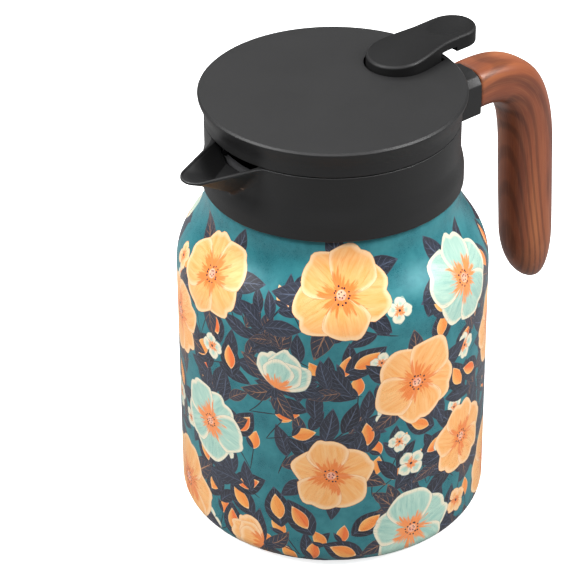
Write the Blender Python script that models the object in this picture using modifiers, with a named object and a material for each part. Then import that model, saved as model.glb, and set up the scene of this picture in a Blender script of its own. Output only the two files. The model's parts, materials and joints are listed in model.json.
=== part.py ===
"""Vacuum pouring jug with a lever-operated lid and a hook-shaped side handle.

Frame: origin at the centre of the foot on the table, +Z up, +X towards the
handle and the thumb lever, -X towards the spout.  All lengths below are in
millimetres and are turned into metres by MM.
"""

import math

import bmesh
import bpy

MM = 0.001
COLLECTION = "pouring_jug"
STEPS = 48                 # segments around a turned part
SMALL_STEPS = 20           # segments around a small turned part
GAP = 0.3                  # running gap between separate pieces

# --- vessel -----------------------------------------------------------------
BODY_R = 62.0
WALL = 1.0
LINER_R = 57.5
LINER_WALL = 0.9
NECK_R = 47.2              # outside of the printed shell at the neck
NECK_TOP = 159.4
NECK_SHOW_R = 49.8         # the short stretch of neck seen under the collar
SHOULDER_TOP = 138.5
SHOULDER_BASE = 108.0
FOOT_ROUND = 7.0
SHELL_BOTTOM = 1.0
FOOT_OPENING_R = 47.0
FOOT_PAD_TOP = 2.0
BASE_PLATE_R = 54.0
LINER_BOTTOM = 6.6
LINER_NECK_R = NECK_R - WALL - GAP

# --- collar -----------------------------------------------------------------
COLLAR_R = 49.8
COLLAR_FOOT_R = 51.2
COLLAR_BASE = 146.2
COLLAR_TOP = 173.0
COLLAR_BORE_R = 47.2
FLANGE_BASE = 162.4
FLANGE_TOP = 164.4
FLANGE_R = 45.3
SPOUT_TIP_X = -73.0
SPOUT_HALF_BASE = 15.2
SPOUT_WALL = 1.9
SPOUT_FALL = 0.05
BRACKET_END = 69.0
BRACKET_HALF_W = 9.5
BRACKET_LOW = 151.8
BRACKET_HIGH = 169.8
TANG_END = 80.0

# --- handle -----------------------------------------------------------------
HANDLE_SCREW_X = 75.0

# --- lid --------------------------------------------------------------------
LID_TOP = 184.6
LID_R = 52.1
LID_SKIRT_R = 49.8
LID_SKIRT_BASE = 173.4
LID_INSIDE = 181.2
POCKET_FLOOR = 177.8
POCKET_BOSS_BASE = 175.8
PLUG_R = 46.5
PLUG_LOW_R = 44.1
PLUG_SHOULDER = 164.8
PLUG_BASE = 151.4
PLUG_FLOOR = 153.4
SEAT_R = 8.0
SEAT_TOP = 153.8

# --- lever and valve ---------------------------------------------------------
LEVER_INNER_X = 33.6
LEVER_INNER_R = 12.3
LEVER_NECK_X = 47.0
LEVER_HALF_W = 9.3
LEVER_OUTER_X = 61.5
LEVER_OUTER_R = 9.8
LEVER_GAP = 0.9
LEVER_DEEP_END = 47.0
PIVOT_X = 44.0
PIVOT_Z = 181.6
STEM_X = 27.0
POCKET_END = 48.5
PIN_R = 1.0
STEM_R = 2.2
VALVE_R = 10.4

MATERIALS = {
    "printed_steel": ((0.045, 0.235, 0.265), 0.35, 0.3),
    "bright_steel": ((0.62, 0.62, 0.61), 0.25, 1.0),
    "black_plastic": ((0.030, 0.030, 0.032), 0.42, 0.0),
    "inner_plastic": ((0.060, 0.060, 0.063), 0.50, 0.0),
    "wood_look": ((0.27, 0.10, 0.045), 0.35, 0.0),
    "silicone": ((0.60, 0.59, 0.56), 0.60, 0.0),
    "foot_rubber": ((0.045, 0.045, 0.048), 0.80, 0.0),
    "spring_steel": ((0.50, 0.50, 0.50), 0.30, 1.0),
}


# --- scene helpers -----------------------------------------------------------
def clear_scene():
    for obj in list(bpy.data.objects):
        bpy.data.objects.remove(obj, do_unlink=True)


def collection(name):
    made = bpy.data.collections.new(name)
    bpy.context.scene.collection.children.link(made)
    return made


def material(node, finish):
    """One material per piece, in the finish that the piece is made in."""
    colour, rough, metal = MATERIALS[finish]
    made = bpy.data.materials.new(node + "_" + finish)
    made.use_nodes = True
    shader = made.node_tree.nodes["Principled BSDF"]
    shader.inputs["Base Color"].default_value = (*colour, 1.0)
    shader.inputs["Roughness"].default_value = rough
    shader.inputs["Metallic"].default_value = metal
    return made


def add_object(name, mesh, where, material_name=None):
    obj = bpy.data.objects.new(name, mesh)
    where.objects.link(obj)
    if material_name:
        mesh.materials.append(material(name, material_name))
    else:
        obj.hide_render = True
        obj.display_type = "WIRE"
    return obj


def smooth_by_angle(mesh, degrees=35.0):
    for face in mesh.polygons:
        face.use_smooth = True
    mesh.set_sharp_from_angle(angle=math.radians(degrees))


# --- shape helpers -----------------------------------------------------------
def arc(cx, cz, rx, rz, start, end, count):
    """Points (r, z) along an elliptical arc, angles in degrees."""
    points = []
    for i in range(count + 1):
        a = math.radians(start + (end - start) * i / count)
        points.append((cx + rx * math.cos(a), cz + rz * math.sin(a)))
    return points


def turned(name, profile, where, material_name=None, closed=True, steps=STEPS,
           centre=(0.0, 0.0)):
    """Turn a profile (r, z) about a vertical axis with the Screw modifier."""
    mesh = bpy.data.meshes.new(name)
    verts = [(r * MM, 0.0, z * MM) for r, z in profile]
    edges = [(i, i + 1) for i in range(len(verts) - 1)]
    if closed:
        edges.append((len(verts) - 1, 0))
    mesh.from_pydata(verts, edges, [])
    obj = add_object(name, mesh, where, material_name)
    obj.location = (centre[0] * MM, centre[1] * MM, 0.0)
    screw = obj.modifiers.new("Turn", "SCREW")
    screw.angle = 2.0 * math.pi
    screw.steps = steps
    screw.render_steps = steps
    screw.use_merge_vertices = True
    screw.merge_threshold = 0.00001
    screw.use_smooth_shade = True
    return obj


def prism(name, outline, plane, low, high, where, material_name=None):
    """Extrude a closed outline; plane XY runs along Z, plane XZ along Y."""
    mesh = bpy.data.meshes.new(name)
    bm = bmesh.new()
    if plane == "XY":
        verts = [bm.verts.new((a * MM, b * MM, low * MM)) for a, b in outline]
        step = (0.0, 0.0, (high - low) * MM)
    else:
        verts = [bm.verts.new((a * MM, low * MM, b * MM)) for a, b in outline]
        step = (0.0, (high - low) * MM, 0.0)
    face = bm.faces.new(verts)
    grown = bmesh.ops.extrude_face_region(bm, geom=[face])
    moved = [v for v in grown["geom"] if isinstance(v, bmesh.types.BMVert)]
    bmesh.ops.translate(bm, verts=moved, vec=step)
    bmesh.ops.recalc_face_normals(bm, faces=bm.faces)
    bm.to_mesh(mesh)
    bm.free()
    return add_object(name, mesh, where, material_name)


def box(name, low, high, where, material_name=None):
    outline = [(low[0], low[1]), (high[0], low[1]), (high[0], high[1]), (low[0], high[1])]
    return prism(name, outline, "XY", low[2], high[2], where, material_name)


def loft(name, rings, where, material_name=None):
    """Skin a solid over closed rings of equal point count."""
    mesh = bpy.data.meshes.new(name)
    bm = bmesh.new()
    loops = [[bm.verts.new([c * MM for c in p]) for p in ring] for ring in rings]
    count = len(rings[0])
    for a, b in zip(loops, loops[1:]):
        for i in range(count):
            j = (i + 1) % count
            bm.faces.new((a[i], a[j], b[j], b[i]))
    bm.faces.new(loops[0])
    bm.faces.new(loops[-1])
    bmesh.ops.recalc_face_normals(bm, faces=bm.faces)
    bm.to_mesh(mesh)
    bm.free()
    return add_object(name, mesh, where, material_name)


def rod(name, radius, start, end, where, material_name=None, steps=SMALL_STEPS):
    """A plain round bar between two points that share two coordinates."""
    span = [end[i] - start[i] for i in range(3)]
    length = max(abs(s) for s in span)
    axis = max(range(3), key=lambda i: abs(span[i]))
    mesh = bpy.data.meshes.new(name)
    bm = bmesh.new()
    bmesh.ops.create_cone(bm, cap_ends=True, segments=steps, radius1=radius * MM,
                          radius2=radius * MM, depth=length * MM)
    bm.to_mesh(mesh)
    bm.free()
    obj = add_object(name, mesh, where, material_name)
    obj.location = [(start[i] + end[i]) * 0.5 * MM for i in range(3)]
    if axis == 0:
        obj.rotation_euler = (0.0, math.pi / 2.0, 0.0)
    if axis == 1:
        obj.rotation_euler = (math.pi / 2.0, 0.0, 0.0)
    if material_name:
        smooth_by_angle(mesh)
    return obj


def boolean(obj, tool, operation="DIFFERENCE"):
    mod = obj.modifiers.new(operation.title() + "_" + tool.name, "BOOLEAN")
    mod.object = tool
    mod.operation = operation
    mod.solver = "EXACT"


# --- vessel ------------------------------------------------------------------
def shoulder(neck_r, body_r, top, base, rows):
    """S-shaped line from the neck, through a small hollow, to the body wall."""
    line = []
    for i in range(rows + 1):
        t = i / rows
        ease = t ** 1.3 / (t ** 1.3 + (1.0 - t) ** 2.1)
        line.append((neck_r + (body_r - neck_r) * ease, top + (base - top) * t))
    return line


def outer_shell(parts):
    line = [(NECK_R, NECK_TOP), (NECK_R, 149.0), (NECK_R + 0.9, 147.3), (NECK_SHOW_R - 0.5, 146.0),
            (NECK_SHOW_R, 144.4), (NECK_SHOW_R + 0.1, 141.0)]
    line += shoulder(NECK_SHOW_R + 0.2, BODY_R, SHOULDER_TOP + 0.5, SHOULDER_BASE, 8)
    line += arc(BODY_R - FOOT_ROUND, SHELL_BOTTOM + FOOT_ROUND, FOOT_ROUND, FOOT_ROUND, 0.0, -90.0, 4)
    line += [(FOOT_OPENING_R, SHELL_BOTTOM), (FOOT_OPENING_R, SHELL_BOTTOM + WALL)]
    inner_r = BODY_R - WALL
    line += arc(BODY_R - FOOT_ROUND, SHELL_BOTTOM + FOOT_ROUND, FOOT_ROUND - WALL,
                FOOT_ROUND - WALL, -90.0, 0.0, 3)
    inside = shoulder(NECK_SHOW_R - 0.8, inner_r, SHOULDER_TOP, SHOULDER_BASE, 6)
    line += list(reversed(inside))
    line += [(NECK_SHOW_R - 1.1, 144.0), (NECK_R - 0.3, 146.6), (NECK_R - WALL, 148.6),
             (NECK_R - WALL, NECK_TOP)]
    return turned("outer_shell", line, parts, "printed_steel")


def inner_liner(parts):
    r_out = LINER_NECK_R
    r_in = LINER_NECK_R - LINER_WALL
    lip_base = NECK_TOP + GAP
    lip_top = lip_base + LINER_WALL
    body_in = LINER_R - LINER_WALL
    top = SHOULDER_TOP + 2.0
    base = SHOULDER_BASE - 3.0
    line = [(NECK_R - 0.2, lip_top), (NECK_R - 0.2, lip_base), (r_out, lip_base)]
    line += shoulder(r_out, LINER_R, top, base, 6)
    line += arc(LINER_R - 10.0, LINER_BOTTOM + 10.0, 10.0, 10.0, 0.0, -90.0, 4)
    line += [(0.0, LINER_BOTTOM), (0.0, LINER_BOTTOM + LINER_WALL)]
    line += arc(LINER_R - 10.0, LINER_BOTTOM + 10.0, 10.0 - LINER_WALL,
                10.0 - LINER_WALL, -90.0, 0.0, 4)
    inside = shoulder(r_in, body_in, top - 0.4, base - 0.4, 6)
    line += list(reversed(inside))
    line += [(r_in, lip_top)]
    split = line.index((0.0, LINER_BOTTOM))
    opened = line[split + 1:] + line[:split + 1]
    return turned("inner_liner", opened, parts, "bright_steel", closed=False, steps=40)


def base_plate(parts):
    low = SHELL_BOTTOM + WALL + GAP
    line = [(0.0, low + 3.0), (12.0, low + 3.0), (14.0, low + WALL), (BASE_PLATE_R, low + WALL),
            (BASE_PLATE_R, low), (13.2, low), (11.2, low + 2.0), (0.0, low + 2.0)]
    return turned("base_plate", line, parts, "bright_steel", closed=False, steps=36)


def foot_pad(parts):
    r = FOOT_OPENING_R - 0.5
    line = [(0.0, FOOT_PAD_TOP), (r, FOOT_PAD_TOP), (r, 0.6), (r - 0.6, 0.0), (0.0, 0.0)]
    return turned("foot_pad", line, parts, "foot_rubber", closed=False)


# --- collar, spout and bracket -------------------------------------------------
def spout_ring(z, tip_x, half_base, inset):
    """Plan outline of the beak at one height, from one cheek round to the other."""
    half = max(half_base - inset, 0.5)
    nose = max(half_base * 0.36 - inset * 0.5, 0.7)
    tip = tip_x + inset
    line = [(-42.0, half), (-46.8, half)]
    for i in range(9):
        a = math.radians(66.0 - 132.0 * i / 8)
        line.append((tip + nose * (1.0 - math.cos(a)), nose * 1.1 * math.sin(a)))
    line += [(-46.8, -half), (-42.0, -half)]
    return [(x, y, z - SPOUT_FALL * max(0.0, -46.8 - x)) for x, y in line]


def spout_levels(inset, lift):
    """The beak narrows and draws back to the collar as it goes down."""
    rings = []
    for depth in (0.0, 1.6, 4.5, 9.0, 14.5):
        d = depth / 14.5
        tip = SPOUT_TIP_X + 22.6 * d ** 0.9
        half = SPOUT_HALF_BASE * (1.0 - 0.7 * d ** 1.3)
        z = COLLAR_TOP - 0.4 - depth * (1.0 - lift)
        rings.append(spout_ring(z, tip, half, inset))
    return rings


def collar_ring(parts):
    line = [(COLLAR_R - 0.4, COLLAR_TOP), (COLLAR_R, COLLAR_TOP - 0.4), (COLLAR_R, 162.0),
            (COLLAR_R + 0.15, 158.5), (COLLAR_R + 0.6, 156.0), (COLLAR_FOOT_R - 0.25, 153.0),
            (COLLAR_FOOT_R, 150.0), (COLLAR_FOOT_R, COLLAR_BASE + 0.5),
            (COLLAR_FOOT_R - 0.5, COLLAR_BASE), (49.0, COLLAR_BASE + 1.4), (49.0, 152.0),
            (NECK_R + 0.5, 153.2), (NECK_R + 0.5, FLANGE_BASE), (FLANGE_R, FLANGE_BASE),
            (FLANGE_R, FLANGE_TOP), (COLLAR_BORE_R, FLANGE_TOP), (COLLAR_BORE_R, COLLAR_TOP)]
    return turned("collar", line, parts, "black_plastic")


def bracket_outline():
    """Cross-section of the handle bracket in Y, Z with generous top chamfers."""
    w, lo, hi = BRACKET_HALF_W, BRACKET_LOW, BRACKET_HIGH
    return [(-w + 1.2, lo), (w - 1.2, lo), (w, lo + 1.2), (w, hi - 4.6), (w - 1.4, hi - 2.4),
            (w - 3.6, hi - 0.8), (w - 6.0, hi), (-w + 6.0, hi), (-w + 3.6, hi - 0.8),
            (-w + 1.4, hi - 2.4), (-w, hi - 4.6), (-w, lo + 1.2)]


def collar(parts, cutters):
    obj = collar_ring(parts)
    beak = loft("cut_beak_outside", spout_levels(0.0, 0.0), cutters)
    root = rod("cut_beak_root", COLLAR_R - 0.4, (0, 0, 140.0), (0, 0, 180.0), cutters, steps=STEPS)
    boolean(beak, root)
    boolean(obj, beak, "UNION")
    arm = loft("cut_bracket", [[(x, y, z) for y, z in bracket_outline()]
                               for x in (42.0, BRACKET_END)], cutters)
    boolean(arm, root)
    tang = box("cut_tang", (BRACKET_END - 2.0, -6.0, 156.0), (TANG_END, 6.0, 163.6), cutters)
    boolean(arm, tang, "UNION")
    boolean(obj, arm, "UNION")
    trough = spout_levels(SPOUT_WALL, 0.22)
    lifted = [(x, y, COLLAR_TOP + 2.0) for x, y, _ in trough[0]]
    hollow = loft("cut_trough", [lifted] + trough[:-1], cutters)
    boolean(obj, hollow)
    hole = rod("cut_tang_hole", 1.7, (HANDLE_SCREW_X, 0, 152.0), (HANDLE_SCREW_X, 0, 162.2),
               cutters, steps=12)
    boolean(obj, hole)
    return obj


def collar_gasket(parts):
    low = NECK_TOP + GAP + LINER_WALL + GAP
    line = [(47.0, FLANGE_BASE - GAP), (47.0, low), (FLANGE_R + 0.1, low),
            (FLANGE_R + 0.1, FLANGE_BASE - GAP)]
    return turned("collar_gasket", line, parts, "silicone", steps=36)


# --- handle --------------------------------------------------------------------
def handle_stations():
    """Centre line of the hook in X, Z with its depth, half width and direction."""
    return [
        (BRACKET_END + GAP, 160.8, 8.9, 9.5, 0.0), (74.0, 161.0, 8.9, 9.5, -2.0),
        (79.5, 160.8, 9.0, 9.5, -8.0), (85.2, 159.8, 9.3, 9.6, -18.0),
        (90.6, 157.7, 9.8, 9.7, -32.0), (95.4, 154.0, 10.4, 9.8, -46.0),
        (99.2, 149.0, 10.8, 9.9, -59.0), (101.9, 142.6, 11.2, 10.0, -70.0),
        (103.7, 135.0, 11.5, 10.0, -79.0), (104.8, 126.0, 11.7, 10.0, -84.0),
        (105.4, 114.0, 11.7, 10.0, -87.0), (106.0, 102.0, 11.7, 10.0, -87.5),
        (106.6, 90.0, 11.6, 10.0, -87.5), (107.4, 79.0, 11.2, 9.9, -86.0),
        (108.6, 71.0, 10.1, 9.4, -84.0), (109.9, 65.3, 8.5, 8.4, -80.0),
        (111.2, 61.0, 6.4, 6.8, -76.0), (112.1, 58.3, 4.0, 4.6, -74.0),
        (112.5, 57.0, 2.0, 2.4, -74.0)]


def handle_ring(station, count=20):
    """Rounded-rectangle section across the hook, squarer at the arm."""
    x, z, depth, width, direction = station
    turn = math.radians(direction + 90.0)
    square = 0.62 if direction > -20.0 else 0.62 + 0.26 * min(1.0, (-20.0 - direction) / 50.0)
    ring = []
    for i in range(count):
        a = 2.0 * math.pi * (i + 0.5) / count
        across = width * math.copysign(abs(math.cos(a)) ** square, math.cos(a))
        out = depth * math.copysign(abs(math.sin(a)) ** square, math.sin(a))
        ring.append((x + out * math.cos(turn), across, z + out * math.sin(turn)))
    return ring


def handle_grip(parts, cutters):
    obj = loft("handle_grip", [handle_ring(s) for s in handle_stations()], parts, "wood_look")
    smooth_by_angle(obj.data, 50.0)
    socket = box("cut_socket", (BRACKET_END - 1.0, -6.3, 155.7), (TANG_END + GAP, 6.3, 163.9),
                 cutters)
    boolean(obj, socket)
    seat = rod("cut_screw_head", 3.3, (HANDLE_SCREW_X, 0, 143.0), (HANDLE_SCREW_X, 0, 153.9),
               cutters, steps=16)
    boolean(obj, seat)
    shank = rod("cut_screw_shank", 1.7, (HANDLE_SCREW_X, 0, 153.0), (HANDLE_SCREW_X, 0, 157.0),
                cutters, steps=12)
    boolean(obj, shank)
    return obj


def headed_screw(name, x, y, head_low, head_high, head_r, tip, shank_r, parts):
    """A pan-head screw pointing up, with a shallow hexagon recess in the head."""
    line = [(0.0, tip), (shank_r * 0.6, tip), (shank_r, tip - 0.7), (shank_r, head_high),
            (head_r, head_high), (head_r, head_low + 0.5), (head_r - 0.5, head_low),
            (head_r * 0.5, head_low), (head_r * 0.5, head_low + 0.8), (0.0, head_low + 0.8)]
    return turned(name, line, parts, "bright_steel", closed=False, steps=12, centre=(x, y))


# --- lever ----------------------------------------------------------------------
def lever_half_width(x):
    """Half width of the lever in plan at a distance x from the jug axis."""
    inner_end = LEVER_INNER_X - LEVER_INNER_R
    outer_end = LEVER_OUTER_X + LEVER_OUTER_R
    if x <= inner_end or x >= outer_end:
        return 0.0
    if x < LEVER_INNER_X:
        return math.sqrt(LEVER_INNER_R ** 2 - (LEVER_INNER_X - x) ** 2)
    if x < LEVER_NECK_X + 6.0:
        t = (x - LEVER_INNER_X) / (LEVER_NECK_X + 6.0 - LEVER_INNER_X)
        ease = t * t * (3.0 - 2.0 * t)
        return LEVER_INNER_R + (LEVER_HALF_W - LEVER_INNER_R) * ease
    if x < LEVER_OUTER_X:
        return LEVER_HALF_W
    t = (x - LEVER_OUTER_X) / LEVER_OUTER_R
    return LEVER_HALF_W * math.sqrt(max(0.0, 1.0 - t * t))


def lever_top(x):
    """Height of the lever's crown along its length."""
    return 188.8 + 3.4 * (1.0 - math.exp(-(x - 21.0) / 18.0)) - 0.0022 * max(0.0, x - 56.0) ** 2.2


def lever_bottom(x):
    """Underside: deep in the pocket, stepped up to pass over the lid rim."""
    if x < LEVER_DEEP_END:
        return 179.6
    if x < 55.8:
        return 187.1
    return 185.0


def lever_ring(x, bottom):
    """One cross-section: flat underside, straight sides and a rounded crown."""
    w = max(lever_half_width(x), 0.8)
    top = lever_top(x) - 3.4 * max(0.0, 1.0 - lever_half_width(x) / 6.5) ** 2
    edge = max(bottom + 0.3, top - 4.0 - 0.04 * w)
    ring = [(x, -w, bottom)]
    for i in range(9):
        a = math.radians(180.0 - 180.0 * i / 8)
        y = w * math.copysign(abs(math.cos(a)) ** 0.72, math.cos(a))
        z = edge + (top - edge) * math.sin(a) ** 0.8
        ring.append((x, y, z))
    ring.append((x, w, bottom))
    return ring


def lever_stations():
    """Distances along the lever at which sections are cut, closer at the ends."""
    inner_end = LEVER_INNER_X - LEVER_INNER_R
    outer_end = LEVER_OUTER_X + LEVER_OUTER_R
    xs = [inner_end + d for d in (0.06, 0.5, 1.5, 3.2, 5.6, 8.6, 12.3)]
    xs += [38.0, 42.0, LEVER_DEEP_END - 0.05, LEVER_DEEP_END + 0.05]
    xs += [50.5, 53.0, 55.75, 55.85]
    xs += [58.5, LEVER_OUTER_X]
    xs += [outer_end - d for d in (6.6, 4.2, 2.3, 1.0, 0.3, 0.04)]
    return xs


def lever(parts, cutters):
    rings = [lever_ring(x, lever_bottom(x)) for x in lever_stations()]
    obj = loft("lever", rings, parts, "black_plastic")
    smooth_by_angle(obj.data, 40.0)
    dish = thumb_dish(cutters)
    boolean(obj, dish)
    boolean(obj, lever_hollow(cutters))
    slot = box("cut_lever_outer_hollow", (57.4, -7.0, 182.0), (68.0, 7.0, 187.0), cutters)
    boolean(obj, slot)
    for name, x in (("cut_lever_pivot", PIVOT_X), ("cut_lever_link", STEM_X)):
        hole = rod(name, PIN_R + GAP, (x, -16.0, PIVOT_Z), (x, 16.0, PIVOT_Z), cutters, steps=16)
        boolean(obj, hole)
    return obj


def thumb_dish(cutters):
    mesh = bpy.data.meshes.new("cut_thumb_dish")
    bm = bmesh.new()
    bmesh.ops.create_uvsphere(bm, u_segments=24, v_segments=12, radius=1.0)
    bmesh.ops.scale(bm, vec=(9.4 * MM, 6.9 * MM, 3.2 * MM), verts=bm.verts)
    bm.to_mesh(mesh)
    bm.free()
    obj = add_object("cut_thumb_dish", mesh, cutters)
    obj.location = (58.5 * MM, 0.0, 193.0 * MM)
    return obj


def lever_hollow(cutters):
    outline = lever_plan(-1.9, 12, LEVER_DEEP_END - 0.8)
    return prism("cut_lever_hollow", outline, "XY", 172.0, 186.3, cutters)


def lever_plan(offset, count, end_x):
    """Plan outline of the lever from its inner end to end_x, offset outwards."""
    start = LEVER_INNER_X - LEVER_INNER_R - offset
    upper = []
    for i in range(count + 1):
        t = i / count
        x = start + (end_x - start) * (1.0 - math.cos(t * math.pi / 2.0))
        upper.append((x, plan_width(x, offset)))
    lower = [(x, -y) for x, y in reversed(upper[1:])]
    return upper + lower


def plan_width(x, offset):
    if x < LEVER_INNER_X:
        return math.sqrt(max(0.0, (LEVER_INNER_R + offset) ** 2 - (LEVER_INNER_X - x) ** 2))
    return lever_half_width(x) + offset


# --- lid --------------------------------------------------------------------------
def lid_cover(parts, cutters):
    line = [(0.0, LID_TOP), (LID_R - 1.0, LID_TOP), (LID_R - 0.3, LID_TOP - 0.25),
            (LID_R, LID_TOP - 0.9), (LID_R - 0.1, LID_TOP - 1.5), (LID_SKIRT_R + 0.5, 178.6),
            (LID_SKIRT_R + 0.1, 177.2), (LID_SKIRT_R, 176.0), (LID_SKIRT_R, LID_SKIRT_BASE + 0.4),
            (LID_SKIRT_R - 0.4, LID_SKIRT_BASE), (47.6, LID_SKIRT_BASE), (47.6, LID_INSIDE),
            (0.0, LID_INSIDE)]
    obj = turned("lid_cover", line, parts, "black_plastic", closed=False)
    boss = prism("cut_pocket_boss", lever_plan(3.4, 10, 49.0), "XY", POCKET_BOSS_BASE,
                 LID_INSIDE + 0.6, cutters)
    boolean(obj, boss, "UNION")
    pocket = prism("cut_pocket", lever_plan(LEVER_GAP, 14, POCKET_END), "XY", POCKET_FLOOR,
                   LID_TOP + 3.0, cutters)
    boolean(obj, pocket)
    bush = rod("cut_bush_hole", 4.0, (STEM_X, 0, 172.0), (STEM_X, 0, 181.0), cutters,
               steps=SMALL_STEPS)
    boolean(obj, bush)
    pin = rod("cut_pivot_hole", PIN_R + GAP, (PIVOT_X, -13.3, PIVOT_Z), (PIVOT_X, 13.3, PIVOT_Z),
              cutters, steps=16)
    boolean(obj, pin)
    for i, (x, y) in enumerate(plug_screw_places()):
        hole = rod("cut_cover_screw_%d" % i, 1.5, (x, y, 178.0), (x, y, 183.6), cutters, steps=12)
        boolean(obj, hole)
    return obj


def plug_screw_places():
    return [(40.6 * math.cos(math.radians(a)), 40.6 * math.sin(math.radians(a)))
            for a in (90.0, 180.0, 270.0)]


def lid_plug(parts, cutters):
    line = [(PLUG_R, LID_INSIDE - GAP), (PLUG_R, PLUG_SHOULDER), (PLUG_LOW_R, PLUG_SHOULDER),
            (PLUG_LOW_R, 158.0), (42.2, 158.0), (42.2, 153.2), (PLUG_LOW_R, 153.2),
            (PLUG_LOW_R, PLUG_BASE + 0.6), (PLUG_LOW_R - 0.6, PLUG_BASE), (0.0, PLUG_BASE)]
    inner = [(0.0, PLUG_FLOOR), (40.1, PLUG_FLOOR), (40.1, 161.8), (44.5, 166.2),
             (44.5, LID_INSIDE - GAP), (PLUG_R, LID_INSIDE - GAP)]
    obj = turned("lid_plug", inner + line[1:], parts, "inner_plastic", closed=False)
    seat = rod("cut_seat", 9.8, (STEM_X, 0, 152.4), (STEM_X, 0, SEAT_TOP), cutters, steps=24)
    boolean(obj, seat, "UNION")
    for i, (x, y) in enumerate(plug_screw_places()):
        lug = rod("cut_lug_%d" % i, 4.6, (x, y, 178.2), (x, y, LID_INSIDE - GAP), cutters, steps=16)
        boolean(obj, lug, "UNION")
    notch = prism("cut_boss_room", lever_plan(3.8, 10, 60.0), "XY", POCKET_BOSS_BASE - GAP, 187.0,
                  cutters)
    boolean(obj, notch)
    port = rod("cut_port", SEAT_R, (STEM_X, 0, 146.0), (STEM_X, 0, 159.0), cutters, steps=24)
    boolean(obj, port)
    window = box("cut_pour_window", (-60.0, -11.0, 166.6), (-38.0, 11.0, 172.6), cutters)
    boolean(obj, window)
    for i, (x, y) in enumerate(plug_screw_places()):
        hole = rod("cut_lug_screw_%d" % i, 1.5, (x, y, 172.0), (x, y, 192.0), cutters, steps=12)
        boolean(obj, hole)
    return obj


def lid_gasket(parts):
    line = [(44.5, 157.7), (44.7, 157.0), (44.3, 155.6), (44.7, 154.2), (44.5, 153.5), (42.5, 153.5),
            (42.5, 157.7)]
    return turned("lid_gasket", line, parts, "silicone", steps=40)


def plug_screws(parts):
    made = []
    for label, (x, y) in zip("abc", plug_screw_places()):
        made.append(headed_screw("plug_screw_" + label, x, y, 176.5, 177.9, 2.6, 183.0, 1.2, parts))
    return made


def stem_bush(parts):
    line = [(3.7, POCKET_FLOOR), (3.7, POCKET_BOSS_BASE - GAP), (5.2, POCKET_BOSS_BASE - GAP),
            (5.2, POCKET_BOSS_BASE - 1.5), (STEM_R + GAP, POCKET_BOSS_BASE - 1.5),
            (STEM_R + GAP, POCKET_FLOOR)]
    return turned("stem_bush", line, parts, "inner_plastic", steps=SMALL_STEPS,
                  centre=(STEM_X, 0.0))


# --- valve ------------------------------------------------------------------------
def valve_stem(parts, cutters):
    line = [(0.0, 179.6), (STEM_R, 179.6), (STEM_R, 158.2), (0.0, 158.2)]
    obj = turned("valve_stem", line, parts, "inner_plastic", closed=False, steps=SMALL_STEPS,
                 centre=(STEM_X, 0.0))
    eye = prism("cut_stem_eye", [(x - STEM_X, z) for x, z in stem_eye_outline()], "XZ", -2.4, 2.4,
                cutters)
    eye.location = (STEM_X * MM, 0.0, 0.0)
    boolean(obj, eye, "UNION")
    slot = prism("cut_stem_slot", [(x - STEM_X, z) for x, z in stem_slot_outline()], "XZ", -4.0, 4.0,
                 cutters)
    slot.location = (STEM_X * MM, 0.0, 0.0)
    boolean(obj, slot)
    foot = rod("cut_stem_foot", 1.5, (STEM_X, 0, 151.0), (STEM_X, 0, 161.6), cutters, steps=12)
    boolean(obj, foot)
    return obj


def stem_eye_outline():
    crown = arc(STEM_X + 0.2, 181.8, 3.1, 2.9, 0.0, 180.0, 10)
    return [(STEM_X - 2.9, 178.6), (STEM_X + 3.3, 178.6)] + crown


def stem_slot_outline():
    right = arc(STEM_X + 0.7, PIVOT_Z, 1.35, 1.35, -90.0, 90.0, 8)
    left = arc(STEM_X - 0.3, PIVOT_Z, 1.35, 1.35, 90.0, 270.0, 8)
    return right + left


def valve_disc(parts):
    line = [(STEM_R + GAP, 158.9), (5.4, 158.9), (6.2, 157.4), (VALVE_R, 157.0), (VALVE_R, 155.4),
            (4.0, 155.4), (4.0, 154.1), (1.5, 154.1), (1.5, 157.9), (STEM_R + GAP, 157.9)]
    return turned("valve_disc", line, parts, "inner_plastic", steps=24, centre=(STEM_X, 0.0))


def valve_seal(parts):
    line = [(VALVE_R + 0.4, 154.8), (VALVE_R + 0.4, 154.4), (VALVE_R + 0.1, SEAT_TOP + GAP),
            (4.3, SEAT_TOP + GAP), (4.3, 155.1), (VALVE_R + 0.1, 155.1)]
    return turned("valve_seal", line, parts, "silicone", steps=24, centre=(STEM_X, 0.0))


def valve_retainer(parts):
    line = [(7.2, 153.8), (7.2, 153.0), (6.6, 152.6), (1.5, 152.6), (1.5, 153.8)]
    return turned("valve_retainer", line, parts, "inner_plastic", steps=24, centre=(STEM_X, 0.0))


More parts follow.
